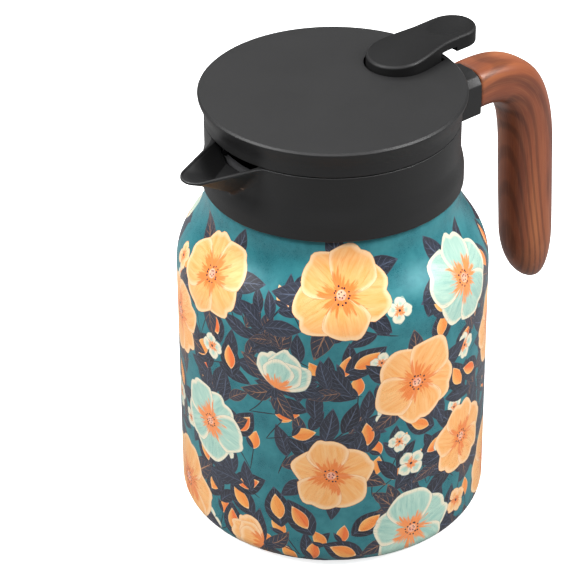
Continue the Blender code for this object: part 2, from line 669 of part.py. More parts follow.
def valve_spring(parts):
    """Compression spring around the stem, drawn as a round wire on a helix."""
    turns = 5.0
    radius = 4.1
    wire = 0.55
    low = 159.2 + wire
    high = POCKET_BOSS_BASE - 1.8 - wire
    count = int(turns * 14)
    curve = bpy.data.curves.new("valve_spring", "CURVE")
    curve.dimensions = "3D"
    curve.bevel_depth = wire * MM
    curve.bevel_resolution = 2
    curve.use_fill_caps = True
    line = curve.splines.new("POLY")
    line.points.add(count)
    for i in range(count + 1):
        t = i / count
        a = 2.0 * math.pi * turns * t
        rise = t + 0.055 * math.sin(2.0 * math.pi * t) * -1.0
        line.points[i].co = (radius * math.cos(a) * MM, radius * math.sin(a) * MM,
                             (low + (high - low) * rise) * MM, 1.0)
    source = bpy.data.objects.new("valve_spring_wire", curve)
    bpy.context.scene.collection.objects.link(source)
    bpy.context.view_layer.update()
    graph = bpy.context.evaluated_depsgraph_get()
    mesh = bpy.data.meshes.new_from_object(source.evaluated_get(graph))
    mesh.name = "valve_spring"
    bpy.data.objects.remove(source, do_unlink=True)
    bm = bmesh.new()
    bm.from_mesh(mesh)
    bmesh.ops.remove_doubles(bm, verts=bm.verts, dist=0.000001)
    bm.to_mesh(mesh)
    bm.free()
    mesh.materials.clear()
    obj = add_object("valve_spring", mesh, parts, "spring_steel")
    obj.location = (STEM_X * MM, 0.0, 0.0)
    smooth_by_angle(mesh)
    return obj


def pins(parts):
    rod("lever_pivot_pin", PIN_R, (PIVOT_X, -13.0, PIVOT_Z), (PIVOT_X, 13.0, PIVOT_Z), parts,
        "bright_steel", steps=16)
    half = plan_width(STEM_X, -0.5)
    rod("lever_link_pin", PIN_R, (STEM_X, -half, PIVOT_Z), (STEM_X, half, PIVOT_Z), parts,
        "bright_steel", steps=16)


def hang(parts, name, where, nodes):
    """An empty on a joint's axis, with the pieces that move about it as children."""
    empty = bpy.data.objects.new(name, None)
    empty.empty_display_size = 10.0 * MM
    parts.objects.link(empty)
    empty.location = [c * MM for c in where]
    for node in nodes:
        piece = bpy.data.objects[node]
        piece.location = piece.location - empty.location
        piece.parent = empty
    return empty


def joints(parts):
    """The lid turns and lifts on the jug; the lever and the valve move in the lid."""
    lid = hang(parts, "lid_axis", (0.0, 0.0, LID_SKIRT_BASE),
               ("lid_cover", "lid_plug", "lid_gasket", "stem_bush", "lever_pivot_pin",
                "plug_screw_a", "plug_screw_b", "plug_screw_c"))
    hinge = hang(parts, "lever_axis", (PIVOT_X, 0.0, PIVOT_Z), ("lever", "lever_link_pin"))
    slide = hang(parts, "valve_axis", (STEM_X, 0.0, SEAT_TOP),
                 ("valve_stem", "valve_disc", "valve_seal", "valve_retainer", "valve_screw",
                  "valve_spring"))
    for empty in (hinge, slide):
        empty.location = empty.location - lid.location
        empty.parent = lid


def main():
    clear_scene()
    parts = collection(COLLECTION)
    cutters = collection(COLLECTION + "_cutters")
    cutters.hide_render = True
    outer_shell(parts)
    inner_liner(parts)
    base_plate(parts)
    foot_pad(parts)
    collar(parts, cutters)
    collar_gasket(parts)
    handle_grip(parts, cutters)
    headed_screw("handle_screw", HANDLE_SCREW_X, 0.0, 152.3, 153.6, 2.9, 161.4, 1.4, parts)
    lid_cover(parts, cutters)
    lid_plug(parts, cutters)
    lid_gasket(parts)
    plug_screws(parts)
    stem_bush(parts)
    lever(parts, cutters)
    pins(parts)
    valve_stem(parts, cutters)
    valve_disc(parts)
    valve_seal(parts)
    valve_retainer(parts)
    headed_screw("valve_screw", STEM_X, 0.0, 151.2, 152.3, 3.0, 161.0, 1.2, parts)
    valve_spring(parts)
    joints(parts)
    bpy.context.view_layer.update()


main()
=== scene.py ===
"""Looks of a vacuum pouring jug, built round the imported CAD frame.

A flower-printed steel body, a charcoal plastic collar with a beak spout, a flat lid with a
thumb lever, and a hook-shaped wood-look grip.  Lengths in the helpers are in millimetres.
"""
import json
import math
import random

import bmesh
import bpy
import numpy as np
from mathutils import Matrix, Vector, geometry, kdtree


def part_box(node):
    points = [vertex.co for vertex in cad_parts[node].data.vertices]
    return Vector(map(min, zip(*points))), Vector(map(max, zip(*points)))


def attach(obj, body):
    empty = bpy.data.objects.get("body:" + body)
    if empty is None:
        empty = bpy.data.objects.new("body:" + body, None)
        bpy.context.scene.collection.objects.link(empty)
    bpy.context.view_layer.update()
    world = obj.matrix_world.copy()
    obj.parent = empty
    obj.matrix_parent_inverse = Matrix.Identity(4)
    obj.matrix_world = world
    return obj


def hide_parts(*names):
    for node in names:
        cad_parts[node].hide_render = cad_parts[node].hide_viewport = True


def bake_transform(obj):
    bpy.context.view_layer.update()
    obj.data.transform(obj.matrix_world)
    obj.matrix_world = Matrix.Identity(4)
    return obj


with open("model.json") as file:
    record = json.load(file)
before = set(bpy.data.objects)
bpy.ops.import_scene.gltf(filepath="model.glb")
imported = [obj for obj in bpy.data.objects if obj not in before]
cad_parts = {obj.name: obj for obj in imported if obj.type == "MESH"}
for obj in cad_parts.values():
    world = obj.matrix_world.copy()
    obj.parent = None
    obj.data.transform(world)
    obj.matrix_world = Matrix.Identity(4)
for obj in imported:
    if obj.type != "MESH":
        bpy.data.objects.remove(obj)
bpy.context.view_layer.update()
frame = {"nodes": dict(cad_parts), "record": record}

MM = 0.001


# --- sizes read from the frame -------------------------------------------------------
def corner(node, side):
    """Lowest (side 0) or highest (side 1) corner of a CAD node, in millimetres."""
    return [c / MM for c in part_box(node)[side]]


BODY_R = corner("outer_shell", 1)[1]
SHELL_BOTTOM = corner("outer_shell", 0)[2]
NECK_TOP = corner("outer_shell", 1)[2]
COLLAR_BASE = corner("collar", 0)[2]
COLLAR_TOP = corner("collar", 1)[2]
COLLAR_FOOT_R = corner("collar", 1)[1]
SPOUT_TIP = 1.0 - corner("collar", 0)[0]
LID_TOP = corner("lid_cover", 1)[2]
LID_R = corner("lid_cover", 1)[1]
GRIP_START = corner("handle_grip", 0)[0] + 1.2
PIVOT = [(a + b) / 2.0 for a, b in zip(corner("lever_pivot_pin", 0), corner("lever_pivot_pin", 1))]
LINK = [(a + b) / 2.0 for a, b in zip(corner("lever_link_pin", 0), corner("lever_link_pin", 1))]


# --- material helper -------------------------------------------------------------------
class Finish:
    """A Principled material with short calls for the nodes that feed it."""

    def __init__(self, name):
        self.material = bpy.data.materials.new(name)
        self.material.use_nodes = True
        self.tree = self.material.node_tree
        self.shader = self.tree.nodes["Principled BSDF"]

    def feed(self, node, key, value):
        socket = node.inputs[key]
        if isinstance(value, bpy.types.NodeSocket):
            self.tree.links.new(value, socket)
        elif isinstance(value, (tuple, list)) and len(value) == 3 and socket.type == "RGBA":
            socket.default_value = (*value, 1.0)
        else:
            socket.default_value = value

    def node(self, kind, settings=None, out=0, **inputs):
        made = self.tree.nodes.new("ShaderNode" + kind)
        for key, value in (settings or {}).items():
            setattr(made, key, value)
        for key, value in inputs.items():
            key = key.replace("_", " ")
            self.feed(made, int(key[1:]) if key[0] == "i" and key[1:].isdigit() else key, value)
        return made.outputs[out]

    def place(self):
        return self.node("TexCoord", out=3)

    def attribute(self, name):
        """A mesh attribute, read as a vector."""
        return self.node("Attribute", {"attribute_name": name}, out=1)

    def split(self, vector):
        made = self.tree.nodes.new("ShaderNodeSeparateXYZ")
        self.feed(made, 0, vector)
        return made.outputs[0], made.outputs[1], made.outputs[2]

    def join(self, x, y, z):
        return self.node("CombineXYZ", i0=x, i1=y, i2=z)

    def math(self, operation, a, b=0.0, c=0.0):
        return self.node("Math", {"operation": operation}, i0=a, i1=b, i2=c)

    def times(self, a, b):
        return self.math("MULTIPLY", a, b)

    def plus(self, a, b):
        return self.math("ADD", a, b)

    def minus(self, a, b):
        return self.math("SUBTRACT", a, b)

    def size(self, a):
        return self.math("ABSOLUTE", a)

    def noise(self, vector, scale, detail=2.0, roughness=0.5):
        return self.node("TexNoise", Vector=vector, Scale=scale, Detail=detail,
                         Roughness=roughness)

    def stretch(self, vector, scale):
        return self.node("Mapping", Vector=vector, Scale=scale)

    def ramp(self, factor, stops):
        made = self.tree.nodes.new("ShaderNodeValToRGB")
        self.feed(made, 0, factor)
        points = made.color_ramp.elements
        while len(points) < len(stops):
            points.new(0.5)
        for point, (position, colour) in zip(points, stops):
            point.position = position
            colour = (colour,) * 3 if isinstance(colour, (int, float)) else colour
            point.color = (*colour, 1.0)
        return made.outputs[0]

    def spread(self, factor, low, high, to_low=0.0, to_high=1.0, smooth=False):
        kind = "SMOOTHSTEP" if smooth else "LINEAR"
        return self.node("MapRange", {"interpolation_type": kind, "clamp": True}, i0=factor,
                         i1=low, i2=high, i3=to_low, i4=to_high)

    def mix(self, factor, a, b, blend="MIX"):
        made = self.tree.nodes.new("ShaderNodeMix")
        made.data_type = "RGBA"
        made.blend_type = blend
        self.feed(made, 0, factor)
        self.feed(made, 6, a)
        self.feed(made, 7, b)
        return made.outputs[2]

    def mottle(self, colour, factor, low, high):
        """A colour that goes from low to high times its strength along a factor."""
        tone = self.spread(factor, 0.3, 0.7, low, high)
        return self.mix(1.0, colour, self.join(tone, tone, tone), "MULTIPLY")

    def bump(self, height, distance):
        return self.node("Bump", Height=height, Distance=distance)

    def set(self, **inputs):
        for key, value in inputs.items():
            self.feed(self.shader, key.replace("_", " "), value)
        return self.material


def srgb(code):
    """Linear colour of a hexadecimal sRGB code."""
    parts = [int(code[i:i + 2], 16) / 255.0 for i in (0, 2, 4)]
    return tuple(c / 12.92 if c <= 0.04045 else ((c + 0.055) / 1.055) ** 2.4 for c in parts)


# --- plain materials ---------------------------------------------------------------------
def plastic(name, colour, rough, specular=0.5):
    """Moulded plastic with a fine grain, rubbed a little smoother along its edges and paler there:
    partly wear, partly a painted highlight.
    """
    f = Finish(name)
    place = f.place()
    cloud = f.noise(place, 45.0, 3.0)
    fine = f.noise(place, 2600.0, 2.0, 0.6)
    shade = f.mottle(colour, cloud, 0.9, 1.1)
    base = f.spread(cloud, 0.3, 0.7, rough - 0.03, rough + 0.04)
    rub = f.plus(base, f.spread(fine, 0.3, 0.7, -0.03, 0.03))
    upright = f.size(f.split(f.node("NewGeometry", out=1))[2])
    sloped = f.times(f.spread(upright, 0.30, 0.45), f.spread(upright, 0.90, 0.97, 1.0, 0.0))
    # Edge mask from pointiness on sloped faces: smoother, shinier wear, and below a paler colour that
    # is partly a painted highlight.
    edge_wear_and_highlight = f.times(f.spread(f.node("NewGeometry", out=7), 0.51, 0.57), sloped)
    rub = f.minus(rub, f.times(edge_wear_and_highlight, 0.14))
    shine = f.spread(edge_wear_and_highlight, 0.0, 1.0, specular, specular + 0.6)
    # Painted highlight, partly wear: the base colour goes paler along those edges.
    pale = f.mix(f.times(edge_wear_and_highlight, 0.5), shade, (0.075, 0.075, 0.077))
    return f.set(Base_Color=pale, Roughness=rub, Specular_IOR_Level=shine,
                 Normal=f.bump(fine, 0.00004))


def metal(name, colour, rough, stretch, scale, depth=0.00001):
    """Brushed metal; stretch sets the way its fine lines run."""
    f = Finish(name)
    lines = f.noise(f.stretch(f.place(), stretch), scale, 3.0, 0.6)
    cloud = f.noise(f.place(), 60.0, 2.0)
    rub = f.plus(f.spread(lines, 0.3, 0.7, rough - 0.06, rough + 0.06),
                 f.spread(cloud, 0.3, 0.7, -0.03, 0.03))
    return f.set(Base_Color=f.mottle(colour, lines, 0.88, 1.08), Metallic=1.0, Roughness=rub,
                 Normal=f.bump(lines, depth))


def silicone(name, colour):
    """Dull, slightly see-through seal material."""
    f = Finish(name)
    place = f.place()
    fine = f.noise(place, 1800.0, 2.0)
    cloud = f.noise(place, 80.0, 2.0)
    f.shader.subsurface_method = "RANDOM_WALK"
    return f.set(Base_Color=f.mottle(colour, cloud, 0.93, 1.05),
                 Roughness=f.spread(fine, 0.3, 0.7, 0.5, 0.62),
                 Subsurface_Weight=0.15, Subsurface_Scale=0.002, Normal=f.bump(fine, 0.00003))


def rubber(name, colour):
    """Dark, matt rubber."""
    f = Finish(name)
    place = f.place()
    fine = f.noise(place, 1500.0, 3.0, 0.65)
    cloud = f.noise(place, 70.0, 2.0)
    return f.set(Base_Color=f.mottle(colour, cloud, 0.85, 1.15),
                 Roughness=f.spread(fine, 0.3, 0.7, 0.7, 0.85), Normal=f.bump(fine, 0.00008))


def wood():
    """Reddish-brown wood figure that follows the grip: lines lengthwise, with long ovals."""
    f = Finish("wood_look")
    across, out, along = f.split(f.attribute("grain"))

    def figure(cross, length, detail, roughness=0.5):
        spot = f.join(f.times(across, cross), f.times(out, cross), f.times(along, length))
        return f.noise(spot, 1.0, detail, roughness)

    shift = f.times(f.minus(figure(40.0, 11.0, 2.0), 0.5), 0.0085)
    drift = f.times(f.minus(figure(14.0, 7.0, 1.0, 0.4), 0.5), 0.022)
    a = f.plus(f.minus(f.plus(out, 0.004), f.times(along, 0.10)), drift)
    b = f.plus(f.times(across, 0.62), shift)
    ring = f.math("SQRT", f.plus(f.times(a, a), f.times(b, b)))
    line = f.spread(f.math("SINE", f.times(ring, 2700.0)), -0.2, 1.0, 0.0, 1.0, True)
    fibre = figure(1900.0, 60.0, 3.0, 0.6)
    pores = f.spread(fibre, 0.60, 0.72, 0.0, 1.0, True)
    ground = f.ramp(figure(70.0, 16.0, 2.0),
                    [(0.28, srgb("693320")), (0.5, srgb("86482C")), (0.74, srgb("A4643C"))])
    dark = f.mix(f.times(line, 0.46), ground, srgb("3A1A11"))
    figured = f.mix(f.times(pores, 0.35), dark, srgb("3A1A12"))
    shade = f.mix(f.spread(fibre, 0.3, 0.5, 0.25, 0.0), figured, srgb("A86A42"))
    height = f.minus(f.times(fibre, 0.4), f.times(line, 0.35))
    return f.set(Base_Color=shade, Roughness=f.spread(fibre, 0.3, 0.7, 0.34, 0.46),
                 Specular_IOR_Level=0.4, Coat_Weight=0.08, Coat_Roughness=0.3,
                 Normal=f.bump(height, 0.00004))


# --- mesh helpers --------------------------------------------------------------------------
def add_mesh(name, verts, faces, material=None):
    """An object from points in millimetres, with its faces turned outwards."""
    mesh = bpy.data.meshes.new(name)
    bm = bmesh.new()
    made = [bm.verts.new([c * MM for c in v]) for v in verts]
    for face in faces:
        bm.faces.new([made[i] for i in face])
    bmesh.ops.recalc_face_normals(bm, faces=bm.faces)
    bm.to_mesh(mesh)
    bm.free()
    obj = bpy.data.objects.new(name, mesh)
    bpy.context.scene.collection.objects.link(obj)
    if material:
        mesh.materials.append(material)
    return obj


def shade(obj, degrees):
    """Smooth shading that keeps every edge sharper than the angle."""
    for face in obj.data.polygons:
        face.use_smooth = True
    obj.data.set_sharp_from_angle(angle=math.radians(degrees))
    mod = obj.modifiers.new("Normals", "WEIGHTED_NORMAL")
    mod.keep_sharp = True


def rounded(points, closed=True, segments=4):
    """Replace each corner (r, z, radius) of a profile by an arc of that radius."""
    out = []
    count = len(points)
    for i, point in enumerate(points):
        radius = point[2] if len(point) > 2 else 0.0
        here = Vector(point[:2])
        if radius <= 0.0 or (not closed and i in (0, count - 1)):
            out.append(tuple(here))
            continue
        before = Vector(points[i - 1][:2]) - here
        after = Vector(points[(i + 1) % count][:2]) - here
        angle = before.angle(after)
        cut = min(radius / math.tan(angle / 2.0), before.length * 0.48, after.length * 0.48)
        start = here + before.normalized() * cut
        end = here + after.normalized() * cut
        for k in range(segments + 1):
            t = k / segments
            out.append(tuple(start * (1 - t) ** 2 + here * 2 * t * (1 - t) + end * t ** 2))
    return out


def circle(count, offset=0.0):
    """Angles of evenly spaced points; offset moves them by a share of the spacing."""
    return [2.0 * math.pi * (i + offset) / count for i in range(count)]


def bands(count, rings, base=0):
    """Quads that join each ring of count points to the next one."""
    faces = []
    for k in range(rings - 1):
        a, b = base + k * count, base + (k + 1) * count
        for i in range(count):
            j = (i + 1) % count
            faces.append((a + i, a + j, b + j, b + i))
    return faces


def loft(name, rings, material=None):
    """A closed skin over rings of equally many points, with flat ends."""
    count = len(rings[0])
    verts = [p for ring in rings for p in ring]
    faces = bands(count, len(rings))
    faces += [tuple(range(count)), tuple(range(len(verts) - count, len(verts)))]
    return add_mesh(name, verts, faces, material)


def rod(radius, start, end, steps=32):
    """A plain round cutter between two points."""
    a, b = Vector(start), Vector(end)
    turn = (b - a).to_track_quat("Z", "Y").to_matrix()
    return loft("tool_rod", [[centre + turn @ Vector((radius * math.cos(t), radius * math.sin(t), 0.0))
                              for t in circle(steps)] for centre in (a, b)])


def prism(outline, low, high):
    """A straight-sided cutter over a closed outline, from one height to another."""
    return loft("tool_prism", [[(x, y, z) for x, y in outline] for z in (low, high)])


def box(low, high):
    """Rectangular block between two opposite corners."""
    outline = [(low[0], low[1]), (high[0], low[1]), (high[0], high[1]), (low[0], high[1])]
    return prism(outline, low[2], high[2])


def bake_modifiers(obj):
    """Apply the modifiers, so that the mesh itself holds the shape."""
    graph = bpy.context.evaluated_depsgraph_get()
    mesh = bpy.data.meshes.new_from_object(obj.evaluated_get(graph))
    old = obj.data
    obj.modifiers.clear()
    obj.data = mesh
    bpy.data.meshes.remove(old)


def combine(obj, tools, operation="DIFFERENCE"):
    """Cut or join each tool, one after the other, and drop the tools."""
    for tool in tools:
        mod = obj.modifiers.new("Cut", "BOOLEAN")
        mod.object = tool
        mod.operation = operation
        mod.solver = "EXACT"
        bpy.context.view_layer.update()
        bake_modifiers(obj)
        bpy.data.objects.remove(tool, do_unlink=True)


def soften(obj, width, degrees):
    """Bevel every edge sharper than the angle."""
    mod = obj.modifiers.new("Edge", "BEVEL")
    mod.width = width * MM
    mod.segments = 2
    mod.limit_method = "ANGLE"
    mod.angle_limit = math.radians(degrees)
    bpy.context.view_layer.update()
    bake_modifiers(obj)


def smooth_max(a, b, k):
    """Larger of two values with a fillet of size k where they meet."""
    h = max(k - abs(a - b), 0.0) / k
    return max(a, b) + h * h * k * 0.25


def ease(t):
    """Smooth step from 0 to 1."""
    t = min(max(t, 0.0), 1.0)
    return t * t * (3.0 - 2.0 * t)


# --- collar with spout and bracket -----------------------------------------------------------
COLLAR_R = 49.8
BORE_R = 47.2
SPOUT_ROOT = 46.8          # distance from the axis at which the beak starts
SPOUT_HALF = 15.2
SPOUT_DEPTH = 14.5
SPOUT_DRAW = 22.6
SPOUT_WALL = 2.1
SPOUT_FALL = 0.085
TROUGH_LIFT = 0.78
TROUGH_FLOOR = 165.6
SPOUT_REACH = 0.5          # radians either side of the spout's middle that the beak can fill
SKIRT_R = 49.0             # inside of the collar's skirt, round the shell's neck
GROOVE_R = 47.7            # groove for the collar's gasket
FLANGE_R, FLANGE_LOW, FLANGE_HIGH = 45.3, 162.4, 164.4
BRACKET_HALF, BRACKET_LOW, BRACKET_HIGH = 9.5, 151.8, 169.8
FILLET = 1.7               # how far the bracket's root spreads on the collar
SCREW_X = 75.0
TANG_END = 80.0


def beak_radius(angle, depth, inset):
    """Distance from the axis to the beak's outline at an angle from the spout's middle."""
    d = max(depth, 0.0)
    tip = SPOUT_TIP - SPOUT_DRAW * d ** 0.9 - inset
    half = SPOUT_HALF * max(1.0 - 0.7 * d ** 1.3, 0.05) - inset * 1.1
    nose = max((half + inset) * 0.46 - inset * 0.45, 0.8)
    c = tip - nose
    if abs(angle) > SPOUT_REACH:
        return 0.0
    if c < SPOUT_ROOT + 0.6:
        return tip - 20.0 * abs(angle)
    gap = math.hypot(SPOUT_ROOT - c, half)
    lean = math.atan2(half, SPOUT_ROOT - c)
    normal = lean - math.acos(min(nose / gap, 1.0))
    n = (math.cos(normal), math.sin(normal))
    touch = math.atan2(nose * n[1], c + nose * n[0])
    if abs(angle) < touch:
        s = math.sin(angle)
        return c * math.cos(angle) + math.sqrt(max(nose * nose - c * c * s * s, 0.0))
    reach = n[0] * math.cos(angle) + n[1] * math.sin(abs(angle))
    return (n[0] * SPOUT_ROOT + n[1] * half) / reach if reach > 0.05 else 0.0


def collar_outside(z):
    """Radius of the collar's ring by height: straight, with a flared foot."""
    return COLLAR_R + (COLLAR_FOOT_R - COLLAR_R) * ease((160.5 - z) / 9.0)


def collar_column(angle):
    """The collar's cross-section in (r, z) at one angle from the spout's middle."""
    top_r = beak_radius(angle, 0.0, 0.0)
    beak = ease((top_r - COLLAR_R) / 5.0)
    lip = 0.45 + 0.5 * beak
    power = 4.5 - 2.4 * beak
    rim = COLLAR_TOP - lip
    column = rounded([(SKIRT_R, 152.0), (SKIRT_R, COLLAR_BASE + 1.4, 0.3),
                      (COLLAR_FOOT_R - 1.0, COLLAR_BASE, 0.3), (COLLAR_FOOT_R, COLLAR_BASE, 0.5),
                      (COLLAR_FOOT_R, 149.5)], closed=False)
    rows = 46
    for k in range(rows + 1):
        z = 150.0 + (rim - 150.0) * k / rows
        depth = (COLLAR_TOP - 0.4 - z) / SPOUT_DEPTH
        column.append((smooth_max(collar_outside(z), beak_radius(angle, depth, 0.0), 3.0), z))
    outer = column[-1][0]
    inner = smooth_max(BORE_R, beak_radius(angle, 0.0, SPOUT_WALL), 0.8)
    for k in range(1, 12):
        f = (1.0 - math.cos(math.pi * k / 12)) / 2.0
        rise = (1.0 - abs(2.0 * f - 1.0) ** power) ** (1.0 / power)
        column.append((outer + (inner - outer) * f, rim + lip * rise))
    rows = 14
    for k in range(rows + 1):
        z = rim + (TROUGH_FLOOR - rim) * k / rows
        depth = (COLLAR_TOP - 0.4 - z) / (SPOUT_DEPTH * TROUGH_LIFT)
        column.append((smooth_max(BORE_R, beak_radius(angle, depth, SPOUT_WALL), 0.8), z))
    edge = column[-1][0]
    for f in (0.93, 0.6, 0.2):
        column.append((BORE_R + (edge - BORE_R) * f, TROUGH_FLOOR - 0.12 - 0.02 * (1 - f)))
    column += rounded([(BORE_R, TROUGH_FLOOR - 0.3), (BORE_R, FLANGE_HIGH),
                       (FLANGE_R, FLANGE_HIGH, 0.3), (FLANGE_R, FLANGE_LOW, 0.3),
                       (GROOVE_R, FLANGE_LOW), (GROOVE_R, 153.2), (SKIRT_R, 152.6)], closed=False)
    return [(r, z - SPOUT_FALL * max(0.0, r * math.cos(angle) - SPOUT_ROOT)
             if abs(angle) < SPOUT_REACH else z) for r, z in column]


def collar_angles():
    """Degrees round the collar: close together at the spout, further apart elsewhere."""
    angles = []
    a = -180.0
    while a < 180.0 - 1e-6:
        angles.append(a)
        a += 0.3 if abs(a + 0.15) < 22.0 else 1.25
    return angles


def bracket_outline(grow):
    """Handle bracket's section in (y, z): flat below, with a crowned, chamfered top."""
    w, lo, hi = BRACKET_HALF, BRACKET_LOW, BRACKET_HIGH
    corners = [(-w, lo, 1.0), (w, lo, 1.0), (w, hi - 4.6, 2.2), (w - 2.2, hi - 1.6, 2.2),
               (w - 6.0, hi, 3.0), (-w + 6.0, hi, 3.0), (-w + 2.2, hi - 1.6, 2.2),
               (-w, hi - 4.6, 2.2)]
    line = rounded(corners, segments=5)
    if grow == 0.0:
        return line
    mid = (lo + hi) / 2.0
    return [(y * (1.0 + grow / w), mid + (z - mid) * (1.0 + grow * 2.0 / (hi - lo)))
            for y, z in line]


def bracket(end):
    """The bracket starts inside the collar wall and grows out of it with a small fillet."""
    rings = []
    for out in (-1.6, -0.6, 0.0, 0.15, 0.4, 0.75, 1.2, FILLET):
        grow = 1.2 * (1.0 - math.sqrt(max(0.0, 1.0 - (1.0 - max(out, 0.0) / FILLET) ** 2)))
        rings.append([(math.sqrt(50.4 ** 2 - y * y) + out, y, z)
                      for y, z in bracket_outline(grow)])
    for x in (end - 6.0, end - 0.5):
        rings.append([(x, y, z) for y, z in bracket_outline(0.0)])
    for x, shrink in ((end - 0.2, -0.08), (end - 0.05, -0.22), (end, -0.42)):
        rings.append([(x, y, z) for y, z in bracket_outline(shrink)])
    return loft("tool_bracket", rings)


def collar(material):
    """One moulding: the ring swept with its spout, the handle bracket and the grip's tang."""
    verts, faces = [], []
    angles = collar_angles()
    for a in angles:
        column = collar_column(math.radians(a))
        turn = math.radians(180.0 - a)
        verts += [(r * math.cos(turn), r * math.sin(turn), z) for r, z in column]
    size = len(column)
    count = len(angles)
    for i in range(count):
        j = (i + 1) % count
        for k in range(size):
            m = (k + 1) % size
            faces.append((i * size + k, j * size + k, j * size + m, i * size + m))
    obj = add_mesh("collar_moulding", verts, faces, material)
    tang = box((GRIP_START - 3.0, -6.0, 156.0), (TANG_END, 6.0, 163.6))
    combine(obj, [bracket(GRIP_START - 0.3), tang], "UNION")
    combine(obj, [rod(1.7, (SCREW_X, 0.0, 150.0), (SCREW_X, 0.0, 162.2))])
    shade(obj, 30.0)
    return obj


# --- lever -----------------------------------------------------------------------------------
LEVER_IN_X = 33.0
LEVER_IN_R = 12.3
LEVER_HALF = 9.6
LEVER_OUT_X = 61.5
LEVER_OUT_R = 9.8
LEVER_EDGE = 1.1
LEVER_BASE = 179.6
LEVER_WALL = 1.9
WAIST_X = 53.0             # where the waist has narrowed to the outer half's width
DISH_X, DISH_LONG, DISH_WIDE, DISH_DEPTH = 59.4, 9.4, 7.0, 1.6
PIN_HOLE_R = 1.3


def lever_half(x):
    """Half the lever's width at a distance from the jug's axis."""
    if x < LEVER_IN_X:
        return math.sqrt(max(0.0, LEVER_IN_R ** 2 - (LEVER_IN_X - x) ** 2))
    if x < WAIST_X:
        return LEVER_IN_R + (LEVER_HALF - LEVER_IN_R) * ease((x - LEVER_IN_X) / (WAIST_X - LEVER_IN_X))
    t = max(0.0, x - LEVER_OUT_X) / LEVER_OUT_R
    return LEVER_HALF * math.sqrt(max(0.0, 1.0 - t * t))


def lever_outline(offset=0.0, end=None, count=46):
    """Plan outline, anticlockwise from the outer tip (or from a straight cut at end)."""
    inner = LEVER_IN_X - LEVER_IN_R
    outer = LEVER_OUT_X + LEVER_OUT_R
    upper = []
    for i in range(count + 1):
        t = (1.0 - math.cos(math.pi * i / count)) / 2.0
        x = outer + (inner - outer) * t
        slope = (lever_half(x - 0.02) - lever_half(x + 0.02)) / 0.04
        if 0 < i < count:
            n = Vector((slope, 1.0)).normalized()
        else:
            n = Vector((1.0 if i == 0 else -1.0, 0.0))
        upper.append((x + n.x * offset, lever_half(x) + n.y * offset if 0 < i < count else 0.0))
    if end is not None:
        upper = [p for p in upper if p[0] < end]
        upper = [(end, lever_half(end) + offset)] + upper
        return upper + [(x, -y) for x, y in reversed(upper[:-1])]
    return upper + [(x, -y) for x, y in reversed(upper[1:-1])]


def lever_crown(x, y):
    """Height of the lever's top: arched along its length and across, with a thumb dish."""
    z = 188.8 + 3.4 * (1.0 - math.exp(-(x - 21.0) / 18.0)) - 0.0022 * max(0.0, x - 56.0) ** 2.2
    z -= 1.1 * (y / 11.0) ** 2 + 0.9 * max(0.0, (LEVER_IN_X - x) / LEVER_IN_R) ** 2
    rho = math.sqrt(((x - DISH_X) / DISH_LONG) ** 2 + (y / DISH_WIDE) ** 2)
    return z - DISH_DEPTH * max(0.0, 1.0 - rho ** 2.4)


def lever(material):
    """A crowned blank with a rolled edge, hollow below and stepped to clear the lid's rim."""
    base = lever_outline()
    count = len(base)
    verts = [(x, y, LEVER_BASE) for x, y in base]
    rolled = [math.radians(15.0 * k) for k in range(7)]
    for a in rolled:
        for x, y in lever_outline(-LEVER_EDGE * (1.0 - math.cos(a))):
            verts.append((x, y, lever_crown(x, y) - LEVER_EDGE + LEVER_EDGE * math.sin(a)))
    faces = bands(count, len(rolled) + 1)
    faces.append(tuple(range(count)))
    last = len(rolled) * count
    points = [Vector(v[:2]) for v in verts[last:]] + lever_grid(LEVER_EDGE + 0.45)
    done = geometry.delaunay_2d_cdt(points, [], [list(range(count))], 1, 1e-6)
    verts += [(p[0], p[1], lever_crown(p[0], p[1])) for p in done[0][count:]]
    faces += [tuple(last + i for i in tri) for tri in done[2]]
    obj = add_mesh("thumb_lever", verts, faces, material)
    tools = [box((47.0, -20.0, 170.0), (55.8, 20.0, 187.1)),
             box((55.75, -20.0, 170.0), (90.0, 20.0, 185.0)),
             prism(lever_outline(-LEVER_WALL, 46.2), 172.0, 186.3),
             box((57.4, -7.0, 182.0), (68.0, 7.0, 187.0))]
    tools += [rod(PIN_HOLE_R, (x, -16.0, z), (x, 16.0, z), 24) for x, _, z in (PIVOT, LINK)]
    combine(obj, tools)
    soften(obj, 0.35, 55.0)
    shade(obj, 32.0)
    return obj


def lever_grid(margin):
    """Points inside the lever's top, close together round the dish."""
    points = []
    x = LEVER_IN_X - LEVER_IN_R
    while x < LEVER_OUT_X + LEVER_OUT_R:
        step = 0.55 if x > 48.0 else 0.9
        y = -12.6
        while y < 12.6:
            if lever_distance(x, y) > margin:
                points.append(Vector((x, y)))
            y += step
        x += step
    return points


def lever_distance(x, y):
    """Rough distance from a point inside the plan outline to the outline."""
    w = lever_half(x)
    if w <= abs(y):
        return 0.0
    slope = (lever_half(x + 0.05) - lever_half(x - 0.05)) / 0.1
    side = (w - abs(y)) / math.hypot(1.0, slope)
    tip = LEVER_OUT_X + LEVER_OUT_R - x
    back = x - (LEVER_IN_X - LEVER_IN_R)
    return min(side, tip, back)


# --- lid ----------------------------------------------------------------------------------------
LID_SKIRT_R = 49.8
LID_BORE_R = 47.6
LID_BASE = 173.4
LID_INSIDE = 181.2
PLUG_SCREW_R = 40.6


